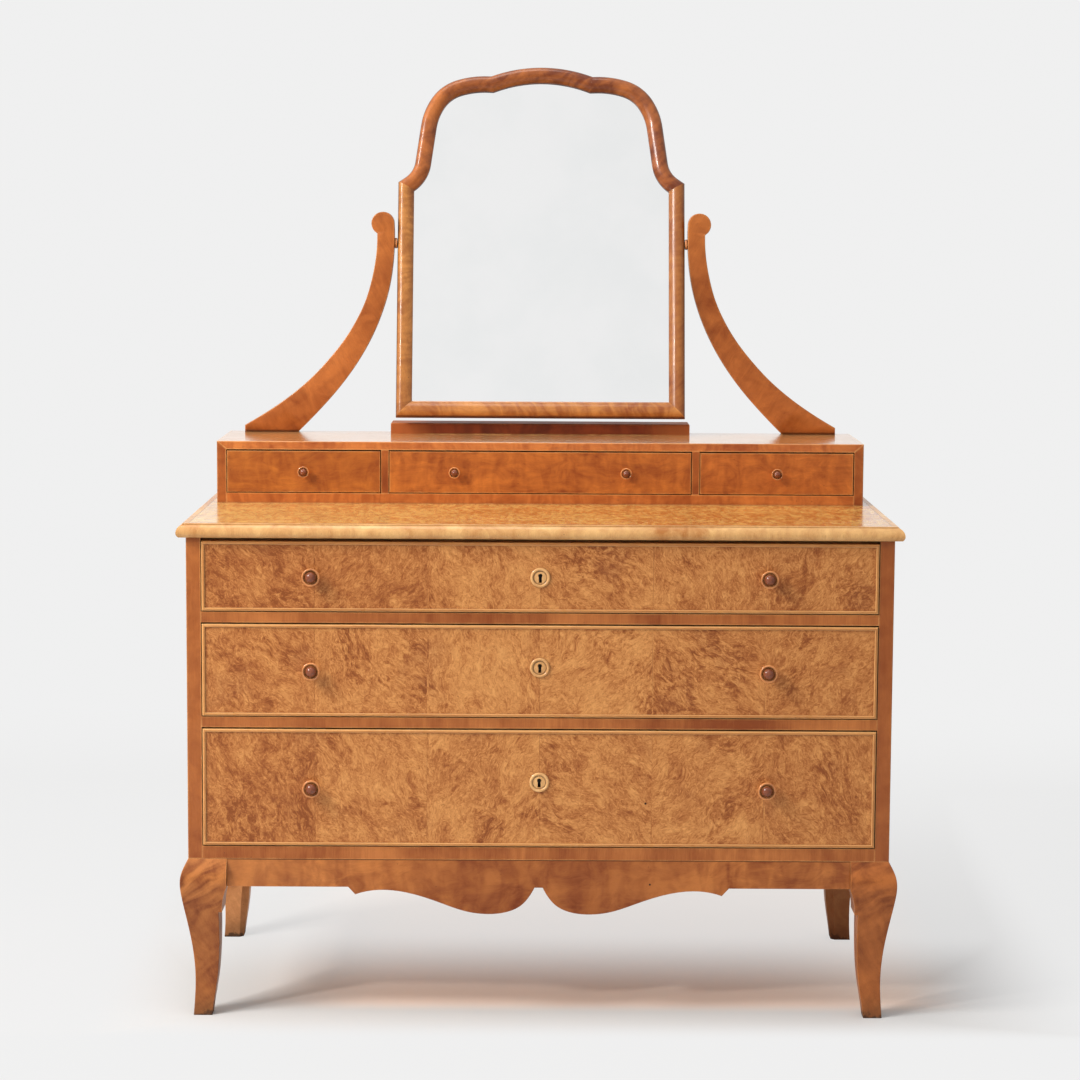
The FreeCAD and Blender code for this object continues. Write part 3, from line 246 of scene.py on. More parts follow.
def board(tree, grain, start=(0.0, 0.0, 0.0), turn=(0.0, 0.0, 0.0)):
    """Where a point lies in its board, with the grain brought to Z."""
    laid = add(tree, "ShaderNodeMapping", {"Vector": here(tree), "Location": start,
                                           "Rotation": GRAIN_ALONG[grain]})
    tilted = add(tree, "ShaderNodeMapping", {"Vector": laid.outputs["Vector"], "Rotation": turn})
    return tilted.outputs["Vector"]


def birch(tree, place, pale, deep, flame=0.5, clouds=0.5, marble=1.3, fibres=0.2, width=0.016,
          worn=0.6, shine=0.34, reach=0.0035):
    """Stained birch under old varnish: its colour, roughness and height."""
    grain = use(tree, straight_grain, Position=place)
    figure = use(tree, birch_flame, Position=place, Width=width)
    edge = use(tree, wear_grime_and_shade, Position=place, Reach=reach)
    age = use(tree, old_surface, Position=place)
    level = sway(tree, figure["Flame"], flame, 0.5)
    level = sway(tree, figure["Clouds"], clouds * 2, level)
    level = sway(tree, figure["Marble"], marble, level)
    level = sway(tree, grain["Fibres"], fibres * 2, level)
    level = sway(tree, grain["Bands"], fibres * 2, level, clamp=True)
    colour = mix(tree, level, deep, pale)
    colour = stain(tree, colour, tint(96, 44, 16), grain["Pores"], 0.35)
    colour = stain(tree, colour, tint(70, 32, 14), age["Specks"], 0.7)
    # Painted shade, with some grime, darkens the corners and creases.
    colour = stain(tree, colour, tint(62, 28, 12), edge["Grime"], 0.75)
    colour = stain(tree, colour, tint(228, 168, 100), edge["Rub"], worn)
    colour = mix(tree, edge["Chip"], colour, tint(232, 204, 162))
    rough = sway(tree, age["Mottle"], 0.25, shine)
    rough = lift(tree, edge["Rub"], 0.18, rough)
    rough = lift(tree, age["Scratches"], 0.2, rough, clamp=True)
    height = lift(tree, edge["Chip"], -3.0, grain["Height"])
    height = lift(tree, age["Scratches"], -0.6, height)
    return colour, rough, height


def varnish(tree, colour, rough, height, depth=0.00006, coat=0.0, **settings):
    """The surface itself, with its grain's height in metres."""
    bump = add(tree, "ShaderNodeBump", {"Height": height, "Distance": depth})
    sockets = {"Base Color": colour, "Roughness": rough, "Normal": bump.outputs["Normal"],
               "Specular IOR Level": 0.3, "Coat Weight": coat, "Coat Roughness": 0.12, **settings}
    shader = add(tree, "ShaderNodeBsdfPrincipled", sockets)
    add(tree, "ShaderNodeOutputMaterial", {"Surface": shader.outputs["BSDF"]})


def dress(material, *names):
    """Give these nodes their finish."""
    for name in names:
        for place in nodes[name].material_slots:
            place.material = material


def leg_finish(name, legs, start, pale, deep, dirt=0.04, painted_shade=0.0):
    """Dirt is how high the floor's dirt reaches, painted_shade how much painted shade darkens the right
    one.
    """
    material, tree = finish(name)
    place = board(tree, "z", start, (0.12, 0.5, 0.0))
    where = here(tree)
    above = axis(tree, where, "Z")
    knee = spread(tree, above, 0.13, 0.2, 0.2, 0.9)
    colour, rough, height = birch(tree, place, pale, deep, flame=knee, clouds=0.8, marble=1.0, fibres=0.3,
                                  width=0.017, worn=0.5, reach=0.002)
    ragged = lift(tree, noise(tree, where, 90.0, 4.0, 0.6), dirt * 0.8, above)
    dirty = spread(tree, ragged, dirt * 1.5, dirt * 0.3)
    colour = stain(tree, colour, tint(92, 62, 36), dirty, 0.6)
    sole = spread(tree, ragged, dirt * 0.6, dirt * 0.45)
    colour = stain(tree, colour, tint(48, 32, 20), sole, 0.8)
    # Painted shade: the right-hand leg is darkened for the shadow it stands in.
    colour = mix(tree, on_right(tree, painted_shade), colour, tint(96, 46, 20))
    rough = lift(tree, dirty, 0.3, rough, clamp=True)
    varnish(tree, colour, rough, height)
    dress(material, legs)


leg_finish("leg_birch_left", "front_leg_left", (0.0, 0.0, 0.0), tint(192, 119, 61), tint(118, 54, 20))
leg_finish("leg_birch_right", "front_leg_right", (3.1, 0.0, 0.4), tint(185, 107, 51), tint(120, 58, 22))
leg_finish("leg_birch_back", "back_legs", (5.3, 0.7, 0.2), tint(222, 156, 100), tint(164, 98, 52),
           dirt=0.05, painted_shade=0.45)


# ---- Front apron ------------------------------------------------------------------------------
# One sawn board of flamed birch between the front legs, scalloped below, with a notch in the
# middle. Its flame is strong and red, and a few old worm holes show.

def pin_holes(tree, colour, holes):
    """Worm holes: small dark round spots (x, z, radius) on the front."""
    flat = scaled(tree, here(tree), (1.0, 0.0, 1.0))
    for x, z, radius in holes:
        gap = along(tree, "DISTANCE", flat, (x, 0.0, z))
        colour = mix(tree, spread(tree, gap, radius * 1.25, radius * 0.7), colour, tint(38, 18, 10))
    return colour


APRON_TOP, APRON_END, JOINT_LINE = 0.2515, 0.5080, 0.0006
material, tree = finish("apron_birch")
colour, rough, height = birch(tree, board(tree, "x", (0.4, 0.0, 0.1), (0.0, 0.1, 0.05)),
                              tint(200, 122, 60), tint(128, 58, 20), flame=0.5, clouds=1.0, marble=1.8,
                              fibres=0.16, width=0.024, worn=0.5, reach=0.002)
across, up = axis(tree, here(tree), "X"), axis(tree, here(tree), "Z")
darker = times(tree, spread(tree, across, -0.3, -0.05, 0.0, 0.35), spread(tree, across, 0.35, 0.1))
colour = mix(tree, darker, colour, tint(112, 46, 14))
paler = calc(tree, "MAXIMUM", spread(tree, across, -0.2, -0.5, 0.0, 0.25),
             spread(tree, across, 0.3, 0.5, 0.0, 0.12))
colour = mix(tree, paler, colour, tint(226, 150, 84))
top_line, end_line = APRON_TOP - 0.0015, APRON_END - 0.0012
joints = calc(tree, "MAXIMUM", spread(tree, up, top_line, top_line + JOINT_LINE),
              spread(tree, calc(tree, "ABSOLUTE", across), end_line, end_line + JOINT_LINE))
colour = stain(tree, colour, tint(52, 24, 10), joints, 0.75)
colour = pin_holes(tree, colour, [(0.1735, 0.2135, 0.0016)])
varnish(tree, colour, rough, height)
dress(material, "front_apron")


# ---- Base rails and glue blocks ---------------------------------------------------------------
# Pine rails join the legs at the sides and the back, stained outside. Inside the corner under the
# case, short three-sided pine blocks are glued along them.

def make_growth_rings():
    """Plain-sawn softwood: rings about a heart that leans, boards side by side, and knots."""
    tree, given, place = recipe("growth rings", Board=0.17)
    wide = given["Board"]
    count = calc(tree, "DIVIDE", axis(tree, place, "X"), wide)
    which = calc(tree, "FLOOR", count)
    chance = add(tree, "ShaderNodeTexWhiteNoise", {"W": which}, noise_dimensions="1D")
    apart = add(tree, "ShaderNodeSeparateColor", {"Color": chance.outputs["Color"]}).outputs
    in_board = calc(tree, "SUBTRACT", calc(tree, "SUBTRACT", count, which), 0.5)
    off_middle = calc(tree, "SUBTRACT", in_board, spread(tree, apart[0], 0, 1, -0.4, 0.4))
    heart = times(tree, off_middle, wide)
    stretched = times(tree, axis(tree, place, "Z"), 0.35)
    bent = vector(tree, axis(tree, place, "X"), times(tree, which, 3.7), stretched)
    lean = spread(tree, noise(tree, bent, 3.0, 2.0, 0.5), 0.2, 0.8, -0.03, 0.16, soft=False)
    deep = calc(tree, "ADD", axis(tree, place, "Y"), lean)
    knots = add(tree, "ShaderNodeTexVoronoi", {
        "Vector": scaled(tree, place, (1.0, 1.0, 0.55)), "Scale": 7.0, "Randomness": 1.0})
    pushed = spread(tree, knots.outputs["Distance"], 0.4, 0.08, 0.0, 0.012)
    from_heart = calc(tree, "SQRT", lift(tree, heart, heart, times(tree, deep, deep)))
    ring_width, waver = 0.0042, 0.016
    radius = calc(tree, "ADD", from_heart, pushed)
    radius = lift(tree, noise(tree, bent, 14.0, 3.0, 0.5), waver, radius)
    turn = calc(tree, "FRACT", calc(tree, "DIVIDE", radius, ring_width))
    late = times(tree, spread(tree, turn, 0.35, 0.9), spread(tree, turn, 1.0, 0.92))
    strength = spread(tree, noise(tree, place, 5.0, 1.0, 0.5), 0.3, 0.7, 0.45, 1.0)
    side = times(tree, calc(tree, "SUBTRACT", 0.5, calc(tree, "ABSOLUTE", in_board)), wide)
    return give(tree, Late=times(tree, late, strength),
                Knot=spread(tree, knots.outputs["Distance"], 0.12, 0.08),
                Joint=spread(tree, side, 0.0008, 0.0003), Tone=apart[1])


growth_rings = make_growth_rings()


def softwood(tree, place, pale, deep, saw, wide):
    """Bare aged softwood: growth rings, knots, fine fibres and saw marks."""
    grain = use(tree, straight_grain, Position=place, Fibre=0.0016)
    rings = use(tree, growth_rings, Position=place, Board=wide)
    level = sway(tree, grain["Fibres"], 0.5, times(tree, rings["Late"], 0.75))
    level = sway(tree, rings["Tone"], 0.35, level, clamp=True)
    colour = mix(tree, level, pale, deep)
    colour = stain(tree, colour, tint(104, 58, 28), rings["Knot"], 0.85)
    age = use(tree, old_surface, Position=place)
    dull = spread(tree, age["Mottle"], 0.35, 0.75)
    colour = stain(tree, colour, tint(118, 90, 60), dull, 0.3)
    colour = stain(tree, colour, tint(74, 48, 30), age["Specks"], 0.6)
    colour = stain(tree, colour, tint(60, 38, 22), rings["Joint"], 0.8)
    marks = add(tree, "ShaderNodeTexWave", {"Vector": place, "Scale": 130.0, "Distortion": 1.5,
                                            "Detail": 2.0}, bands_direction="Z")
    height = lift(tree, marks.outputs["Fac"], saw, grain["Height"])
    height = lift(tree, rings["Joint"], -3.0, height)
    rough = lift(tree, age["Mottle"], 0.2, 0.62, clamp=True)
    return colour, rough, height


def pine_finish(name, grain, pale, deep, start=(0.0, 0.0, 0.0), saw=0.4, wide=5.0, over=None):
    """Saw is the saw marks' depth, wide a board's width, over what is done to the colour last."""
    material, tree = finish(name)
    colour, rough, height = softwood(tree, board(tree, grain, start), pale, deep, saw, wide)
    varnish(tree, over(tree, colour) if over else colour, rough, height, depth=0.00015)
    return material


def stained_outside(tree, colour):
    outside = 0.546
    aside = calc(tree, "ABSOLUTE", axis(tree, here(tree), "X"))
    reached = spread(tree, aside, outside - 0.0015, outside - 0.0005)
    return stain(tree, colour, tint(150, 78, 34), reached, 0.85)


AGED_PINE = tint(206, 164, 112), tint(164, 112, 66)
dress(pine_finish("base_pine", "x", *AGED_PINE, over=stained_outside), "base_rails")


def rule(name, sizes):
    """An empty geometry tree with these named sizes, for pieces that repeat along a line."""
    tree = bpy.data.node_groups.new(name, "GeometryNodeTree")
    tree.interface.new_socket("Lines", in_out="INPUT", socket_type="NodeSocketGeometry")
    kinds = {float: "NodeSocketFloat", tuple: "NodeSocketVector", int: "NodeSocketInt"}
    for label, start in sizes.items():
        socket = tree.interface.new_socket(label, in_out="INPUT", socket_type=kinds[type(start)])
        socket.default_value = start
    tree.interface.new_socket("Finish", in_out="INPUT", socket_type="NodeSocketMaterial")
    tree.interface.new_socket("Pieces", in_out="OUTPUT", socket_type="NodeSocketGeometry")
    return tree, tree.nodes.new("NodeGroupInput").outputs


def spaced(tree, given):
    """Places at even spacing along the lines."""
    line = add(tree, "GeometryNodeMeshToCurve", {"Mesh": given["Lines"]}).outputs["Curve"]
    return add(tree, "GeometryNodeResampleCurve", {"Curve": line, "Length": given["Spacing"]},
               mode="LENGTH").outputs["Curve"]


def uneven(tree, given, low, high):
    """A value of its own for each piece, as hand work gives."""
    return add(tree, "FunctionNodeRandomValue", {0: low, 1: high, "Seed": given["Seed"]},
               data_type="FLOAT_VECTOR").outputs[0]


def put_down(tree, given, places, shape, turned, size):
    """Copies of a shape on the places, made real and given their finish."""
    copies = add(tree, "GeometryNodeInstanceOnPoints", {"Points": places, "Instance": shape,
                                                        "Rotation": turned, "Scale": size})
    solid = add(tree, "GeometryNodeRealizeInstances", {"Geometry": copies.outputs[0]})
    done = add(tree, "GeometryNodeSetMaterial", {"Geometry": solid.outputs[0],
                                                 "Material": given["Finish"]})
    tree.links.new(done.outputs[0], tree.nodes.new("NodeGroupOutput").inputs[0])


def along_lines(name, body, slot, tree, runs, material, **sizes):
    """A piece made by a rule along straight runs, turned into one plain mesh on a body."""
    edges, count = [], 0
    for run in runs:
        edges += [(count + step, count + step + 1) for step in range(len(run) - 1)]
        count += len(run)
    lines = bpy.data.meshes.new(name)
    lines.from_pydata([point for run in runs for point in run], edges, [])
    piece = bpy.data.objects.new(name, lines)
    bpy.context.scene.collection.objects.link(piece)
    setter = piece.modifiers.new(name, "NODES")
    setter.node_group = tree
    for socket in tree.interface.items_tree:
        if socket.name in sizes:
            setter[socket.identifier] = sizes[socket.name]
        elif socket.name == "Finish":
            setter[socket.identifier] = material
    bpy.context.view_layer.update()
    made = bpy.data.meshes.new_from_object(piece.evaluated_get(bpy.context.evaluated_depsgraph_get()))
    piece.modifiers.clear()
    piece.data = made
    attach(piece, body)


def make_glue_blocks():
    """Three-sided blocks whose right angle lies in a corner, spaced along it."""
    tree, given = rule("glue blocks", {"Spacing": 0.15, "Length": 0.06, "Leg": 0.02, "Seed": 4})
    leg, bulge = given["Leg"], 0.56
    corner = add(tree, "GeometryNodeCurvePrimitiveQuadrilateral", {
        "Point 1": (0.0, 0.0, 0.0), "Point 2": vector(tree, leg),
        "Point 3": vector(tree, times(tree, leg, bulge), times(tree, leg, -bulge)),
        "Point 4": vector(tree, 0.0, times(tree, leg, -1.0))}, mode="POINTS")
    end = add(tree, "GeometryNodeFillCurve", {"Curve": corner.outputs["Curve"]}, mode="NGONS")
    whole = vector(tree, z=given["Length"])
    long = add(tree, "GeometryNodeExtrudeMesh", {"Mesh": end.outputs[0], "Offset": whole,
                                                 "Offset Scale": 1.0}, mode="FACES")
    cap = add(tree, "GeometryNodeFlipFaces", {"Mesh": end.outputs[0]})
    block = add(tree, "GeometryNodeJoinGeometry")
    tree.links.new(long.outputs[0], block.inputs[0])
    tree.links.new(cap.outputs[0], block.inputs[0])
    block = add(tree, "GeometryNodeMergeByDistance", {"Geometry": block.outputs[0], "Distance": 0.00001})
    run = add(tree, "GeometryNodeInputTangent").outputs[0]
    inward = along(tree, "CROSS_PRODUCT", (0.0, 0.0, 1.0), run)
    turned = add(tree, "FunctionNodeAlignRotationToVector", {"Vector": run}, axis="Z")
    turned = add(tree, "FunctionNodeAlignRotationToVector", {"Rotation": turned.outputs[0],
                                                             "Vector": inward}, axis="X", pivot_axis="Z")
    size = uneven(tree, given, (0.9, 0.9, 0.86), (1.0, 1.0, 1.0))
    put_down(tree, given, spaced(tree, given), block.outputs[0], turned.outputs[0], size)
    return tree


RAIL_INSIDE, APRON_INSIDE, BACK_INSIDE, UNDERSIDE = 0.524, -0.2754, 0.2156, 0.2515
block_pine = pine_finish("block_pine", "x", tint(212, 172, 118), tint(170, 118, 70),
                         start=(0.6, 0.4, 0.0), saw=0.6)
along_lines("glue_blocks", "case", "carcase_pine", make_glue_blocks(),
            [[(-0.46, APRON_INSIDE, UNDERSIDE), (0.4, APRON_INSIDE, UNDERSIDE)],
             [(RAIL_INSIDE, -0.2, UNDERSIDE), (RAIL_INSIDE, 0.11, UNDERSIDE)],
             [(0.46, BACK_INSIDE, UNDERSIDE), (-0.4, BACK_INSIDE, UNDERSIDE)],
             [(-RAIL_INSIDE, 0.16, UNDERSIDE), (-RAIL_INSIDE, -0.14, UNDERSIDE)]], block_pine)


# ---- Case sides -------------------------------------------------------------------------------
# Two wide boards of stained birch with upright grain, into which the rails are tenoned. Their
# front edges are the stiles beside the drawers.

def birch_finish(name, names, place, pale, deep, coat=0.0, over=None, **figure):
    """A birch finish for these nodes. Over is what is done to its colour before the varnish."""
    material, tree = finish(name)
    colour, rough, height = birch(tree, board(tree, *place), pale, deep, **figure)
    varnish(tree, over(tree, colour) if over else colour, rough, height, coat=coat)
    dress(material, *names)


def redder_right(tree, colour):
    return mix(tree, on_right(tree, 0.3), colour, tint(128, 56, 18))


birch_finish("case_side_birch", ("case_sides",), ("z",), tint(188, 110, 52), tint(138, 66, 22), 0.15,
             redder_right, flame=0.25, clouds=0.8, fibres=0.3, width=0.03, worn=0.75)


# ---- Rails ------------------------------------------------------------------------------------
# The rails between and under the drawers are faced with birch whose grain runs up and down, so
# they show short upright bands.

birch_finish("rail_birch", ("drawer_rails", "bottom_rail"), ("z", (0.7, 0.1, 0.3)), tint(194, 118, 60),
             tint(136, 66, 26), flame=0.1, clouds=1.0, marble=0.8, fibres=0.45, width=0.04, worn=0.7)


# ---- Inside the case --------------------------------------------------------------------------
# Runners, kickers, the top rail, the bottom and the back are bare pine. The back's boards stand
# upright and are nailed round their edge.

dress(pine_finish("runner_pine", "y", *AGED_PINE, start=(0.2, 0.0, 0.0)), "drawer_runners")
dress(pine_finish("top_rail_pine", "x", *AGED_PINE, start=(0.5, 0.0, 0.0)), "top_rail")
dress(pine_finish("bottom_pine", "x", *AGED_PINE, start=(0.9, 0.3, 0.0)), "case_bottom")
dress(pine_finish("back_pine", "z", *AGED_PINE, start=(0.0, -0.2, 0.0), wide=0.175),
      "case_back", "upper_back")


def metal(name, pale, deep, rough):
    """Brushed metal, dull in patches."""
    material, tree = finish(name)
    brushed = noise(tree, scaled(tree, here(tree), (1.0, 1.0, 0.05)), 1500.0, 3.0, 0.6)
    patches = noise(tree, here(tree), 70.0, 4.0, 0.65, 0.4)
    colour = mix(tree, spread(tree, patches, 0.3, 0.7), deep, pale)
    tarnish = sway(tree, patches, 0.4, rough, clamp=True)
    varnish(tree, colour, tarnish, brushed, depth=0.00003, Metallic=1.0)
    return material


def facing_out(tree, given, low, high):
    """Each piece turned to face one way, then by a small turn of its own."""
    turned = add(tree, "FunctionNodeAlignRotationToVector", {"Vector": given["Facing"]}, axis="Z")
    own = add(tree, "FunctionNodeEulerToRotation", {"Euler": uneven(tree, given, low, high)})
    both = {"Rotation": turned.outputs[0], "Rotate By": own.outputs[0]}
    return add(tree, "FunctionNodeRotateRotation", both, rotation_space="LOCAL").outputs[0]


def make_nails():
    """Forged nail heads, a little uneven, spaced along lines and facing one way."""
    tree, given = rule("nail row", {"Spacing": 0.08, "Head": 0.006, "Height": 0.0012,
                                    "Facing": (0.0, 1.0, 0.0), "Seed": 7})
    head = add(tree, "GeometryNodeMeshCone", {
        "Vertices": 8, "Radius Top": times(tree, given["Head"], 0.2),
        "Radius Bottom": times(tree, given["Head"], 0.5), "Depth": given["Height"]})
    turned = facing_out(tree, given, (-0.05, -0.05, 0.0), (0.05, 0.05, 6.28))
    size = uneven(tree, given, (0.85, 0.85, 0.8), (1.1, 1.1, 1.0))
    put_down(tree, given, spaced(tree, given), head.outputs["Mesh"], turned, size)
    return tree


nail_row = make_nails()
nail_iron = metal("nail_iron", tint(96, 86, 78), tint(58, 44, 36), 0.55)


def round_edge(aside, low, high, back):
    """A closed run of corners round a board's rear face."""
    return [(-aside, back, low), (-aside, back, high), (aside, back, high), (aside, back, low),
            (-aside, back, low)]


case_run = round_edge(aside=0.515, low=0.262, high=0.745, back=0.2376)
upper_run = round_edge(aside=0.508, low=0.785, high=0.858, back=0.2476)
along_lines("back_nails", "case", "lock_steel", nail_row, [case_run, upper_run], nail_iron, Spacing=0.085)


# ---- Main top ---------------------------------------------------------------------------------
# A wide flamed birch board, varnished to a high gloss, edged with a moulding of paler birch
# whose grain runs across it. The moulding is mitred at the front corners.

material, tree = finish("top_birch")
place = board(tree, "x", (0.2, 0.5, 0.0))
colour, rough, height = birch(tree, place, tint(232, 183, 101), tint(188, 113, 48), flame=0.8,
                              clouds=0.5, marble=1.5, fibres=0.15, width=0.008, worn=0.3, shine=0.2)
where = here(tree)
across, deep = axis(tree, where, "X"), axis(tree, where, "Y")
# Painted reflection: the top is paler towards its left end, for the pale background mirrored there.
colour = mix(tree, spread(tree, across, 0.1, -0.6, 0.0, 0.3), colour, tint(230, 198, 130))
# Small near-white marks: scuffs in the varnish, and partly painted glints of light.
scuffs_and_glints = noise(tree, scaled(tree, where, (0.35, 1.0, 1.0)), 120.0, 3.0, 0.6, 0.4)
spots = spread(tree, noise(tree, along(tree, "ADD", where, (0.47, 0.13, 0.0)), 6.0, 2.0, 0.5), 0.6, 0.72)
scuffs_and_glints = times(tree, spread(tree, scuffs_and_glints, 0.6, 0.66), spots)
colour = stain(tree, colour, tint(250, 236, 208), scuffs_and_glints, 0.5)
low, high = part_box("main_top")
INNER, OUTER = 0.0016, 0.0008
joints = calc(tree, "MAXIMUM", spread(tree, deep, low[1] + INNER, low[1] + OUTER),
              spread(tree, calc(tree, "ABSOLUTE", across), high[0] - INNER, high[0] - OUTER))
colour = stain(tree, colour, tint(84, 44, 18), joints, 0.7)
varnish(tree, colour, rough, height, depth=0.0001, coat=0.35)
dress(material, "main_top")

birch_finish("edging_birch", ("top_edging",), ("z", (0.1, 0.8, 0.0)), tint(235, 188, 124),
             tint(178, 113, 54), 0.2, flame=0.1, clouds=0.6, fibres=0.4, width=0.03, worn=0.3, shine=0.3)


# ---- Long drawer fronts -----------------------------------------------------------------------
# Pine cores faced with burl birch veneer, laid as six leaves side by side on each front, with
# hairline joints. The burl is a warm tan with curled brown clouds.

def make_burl():
    """Burl birch veneer: tone, curled dark strokes, clouds and fine curl, leaf by leaf."""
    tree, given, place = recipe("burl birch", Leaf=0.0, Turn=0.6, Gather=0.0)
    jump = vector(tree, times(tree, given["Leaf"], 3.71), times(tree, given["Leaf"], 1.37))
    place = along(tree, "ADD", place, jump)
    place = bent_by(tree, place, 9.0, 0.06)
    place = bent_by(tree, place, 45.0, 0.012)
    spun = add(tree, "ShaderNodeVectorRotate", {"Vector": place, "Angle": given["Turn"]},
               rotation_type="Y_AXIS").outputs["Vector"]
    tone = noise(tree, scaled(tree, spun, (1.0, 1.0, 0.6)), 34.0, 8.0, 0.74, 0.5)
    run = noise(tree, scaled(tree, spun, (1.0, 1.0, 0.42)), 120.0, 5.0, 0.66, 0.7)
    gather = calc(tree, "ADD", noise(tree, spun, 15.0, 3.0, 0.6, 0.4), given["Gather"])
    thick = spread(tree, gather, 0.4, 0.8, 0.08, 1.0)
    broad = times(tree, spread(tree, run, 0.47, 0.62), thick)
    ridge = spread(tree, calc(tree, "ABSOLUTE", calc(tree, "SUBTRACT", run, 0.5)), 0.03, 0.0)
    ridge = times(tree, ridge, spread(tree, gather, 0.34, 0.66, 0.15, 1.0))
    strokes = lift(tree, ridge, 0.35, broad, clamp=True)
    cloud = lift(tree, given["Gather"], 0.5, noise(tree, place, 13.0, 3.0, 0.55, 0.3))
    cloud = spread(tree, cloud, 0.58, 0.76)
    curl = noise(tree, scaled(tree, spun, (1.0, 1.0, 0.55)), 210.0, 5.0, 0.72, 1.4)
    fleck = spread(tree, noise(tree, scaled(tree, spun, (1.0, 1.0, 0.3)), 560.0, 1.0, 0.5), 0.7, 0.8)
    return give(tree, Tone=tone, Strokes=strokes, Cloud=cloud, Curl=curl, Fleck=fleck)


burl_birch = make_burl()

LEAVES, LEAF_WIDTH = 6, 0.1744


def per_leaf(tree, across, values):
    """A value from -1 to 1 for each leaf of veneer, from left to right."""
    share = spread(tree, across, -LEAF_WIDTH * LEAVES / 2, LEAF_WIDTH * LEAVES / 2, soft=False)
    ramp = add(tree, "ShaderNodeValToRGB", {"Fac": share})
    ramp.color_ramp.interpolation = "CONSTANT"
    stops = ramp.color_ramp.elements
    for number, value in enumerate(values):
        stop = stops.new(number / LEAVES) if number else stops[0]
        stop.color = (0.5 + value / 2,) * 3 + (1.0,)
    stops.remove(stops[LEAVES])
    return lift(tree, ramp.outputs["Color"], 2.0, -1.0)


def burl_front(name, start, tones, turns, clouds, holes=()):
    """Tones and turns go leaf by leaf; dark curls gather in the clouds (x, z, radius, strength)."""
    material, tree = finish(name + "_burl")
    place = add(tree, "ShaderNodeMapping", {"Vector": here(tree), "Location": start}).outputs["Vector"]
    across = axis(tree, here(tree), "X")
    leaf_count = calc(tree, "DIVIDE", across, LEAF_WIDTH)
    leaf = calc(tree, "FLOOR", leaf_count)
    flat = scaled(tree, here(tree), (1.0, 0.0, 1.0))
    gather = 0.0
    for x, z, radius, strength in clouds:
        gap = along(tree, "DISTANCE", flat, (x, 0.0, z))
        gather = calc(tree, "ADD", gather, spread(tree, gap, radius * 1.7, 0.0, 0.0, strength))
    burl = use(tree, burl_birch, Position=place, Leaf=leaf, Turn=per_leaf(tree, across, turns),
               Gather=gather)
    edge = use(tree, wear_grime_and_shade, Position=place, Reach=0.002)
    age = use(tree, old_surface, Position=place)
    level = sway(tree, burl["Tone"], 1.6, 0.62)
    level = sway(tree, burl["Curl"], 1.9, level)
    level = lift(tree, burl["Strokes"], -0.6, level)
    level = lift(tree, gather, -0.12, level)
    level = calc(tree, "ADD", level, per_leaf(tree, across, tones))
    ramp = add(tree, "ShaderNodeValToRGB", {"Fac": level})
    colour, shades = ramp.outputs["Color"], ramp.color_ramp.elements
    shades[0].color, shades[1].color = tint(136, 72, 30), tint(222, 158, 92)
    for at, shade in ((0.25, tint(160, 92, 44)), (0.5, tint(188, 120, 64)), (0.74, tint(206, 140, 78))):
        shades.new(at).color = shade
    colour = stain(tree, colour, tint(146, 88, 52), burl["Cloud"], 0.22)
    colour = stain(tree, colour, tint(104, 50, 22), burl["Fleck"], 0.4)
    in_leaf = calc(tree, "FRACT", calc(tree, "ADD", leaf_count, 0.5))
    line = spread(tree, calc(tree, "ABSOLUTE", calc(tree, "SUBTRACT", in_leaf, 0.5)), 0.0045, 0.0015)
    faint = spread(tree, noise(tree, here(tree), 9.0, 2.0, 0.5), 0.35, 0.65, 0.0, 0.4)
    colour = stain(tree, colour, tint(120, 62, 28), line, faint)
    colour = stain(tree, colour, tint(84, 42, 20), age["Specks"], 0.6)
    # Painted shade, with some grime, darkens the corners and creases.
    colour = stain(tree, colour, tint(84, 40, 18), edge["Grime"], 0.6)
    colour = mix(tree, edge["Chip"], colour, tint(236, 206, 168))
    colour = pin_holes(tree, colour, holes)
    rough = sway(tree, age["Mottle"], 0.25, 0.4)
    height = lift(tree, line, -1.0, burl["Curl"])
    varnish(tree, colour, rough, height, depth=0.00005)
    dress(material, name + "_drawer_front")


burl_front("top", (0.0, 0.0, 0.0), (-0.2, -0.13, 0.0, 0.0, 0.0, -0.1), (0.7, -0.5, 0.4, 0.9, 0.3, -0.6),
           [(-0.498, 0.719, 0.03, 0.2), (-0.483, 0.653, 0.02, 0.15), (-0.417, 0.723, 0.025, 0.15),
            (-0.192, 0.664, 0.025, 0.2), (-0.17, 0.708, 0.02, 0.15), (0.072, 0.730, 0.03, 0.3),
            (0.119, 0.715, 0.03, 0.3), (0.057, 0.648, 0.025, 0.15), (0.279, 0.737, 0.02, 0.2),
            (0.402, 0.722, 0.022, 0.2), (0.498, 0.667, 0.03, 0.25)])
burl_front("middle", (5.0, 0.0, 0.0), (-0.08, 0.0, 0.08, 0.12, 0.0, -0.06),
           (0.8, 0.5, 0.2, -0.9, 0.95, -0.7),
           [(-0.464, 0.535, 0.03, 0.22), (-0.422, 0.594, 0.018, 0.2), (-0.311, 0.605, 0.018, 0.2),
            (-0.375, 0.567, 0.02, 0.15), (-0.18, 0.58, 0.022, 0.2), (-0.18, 0.53, 0.022, 0.2),
            (0.305, 0.564, 0.035, 0.3), (0.253, 0.608, 0.03, 0.25), (0.199, 0.556, 0.03, 0.3),
            (0.221, 0.519, 0.03, 0.3), (0.254, 0.568, 0.03, 0.25), (0.192, 0.494, 0.025, 0.3)])
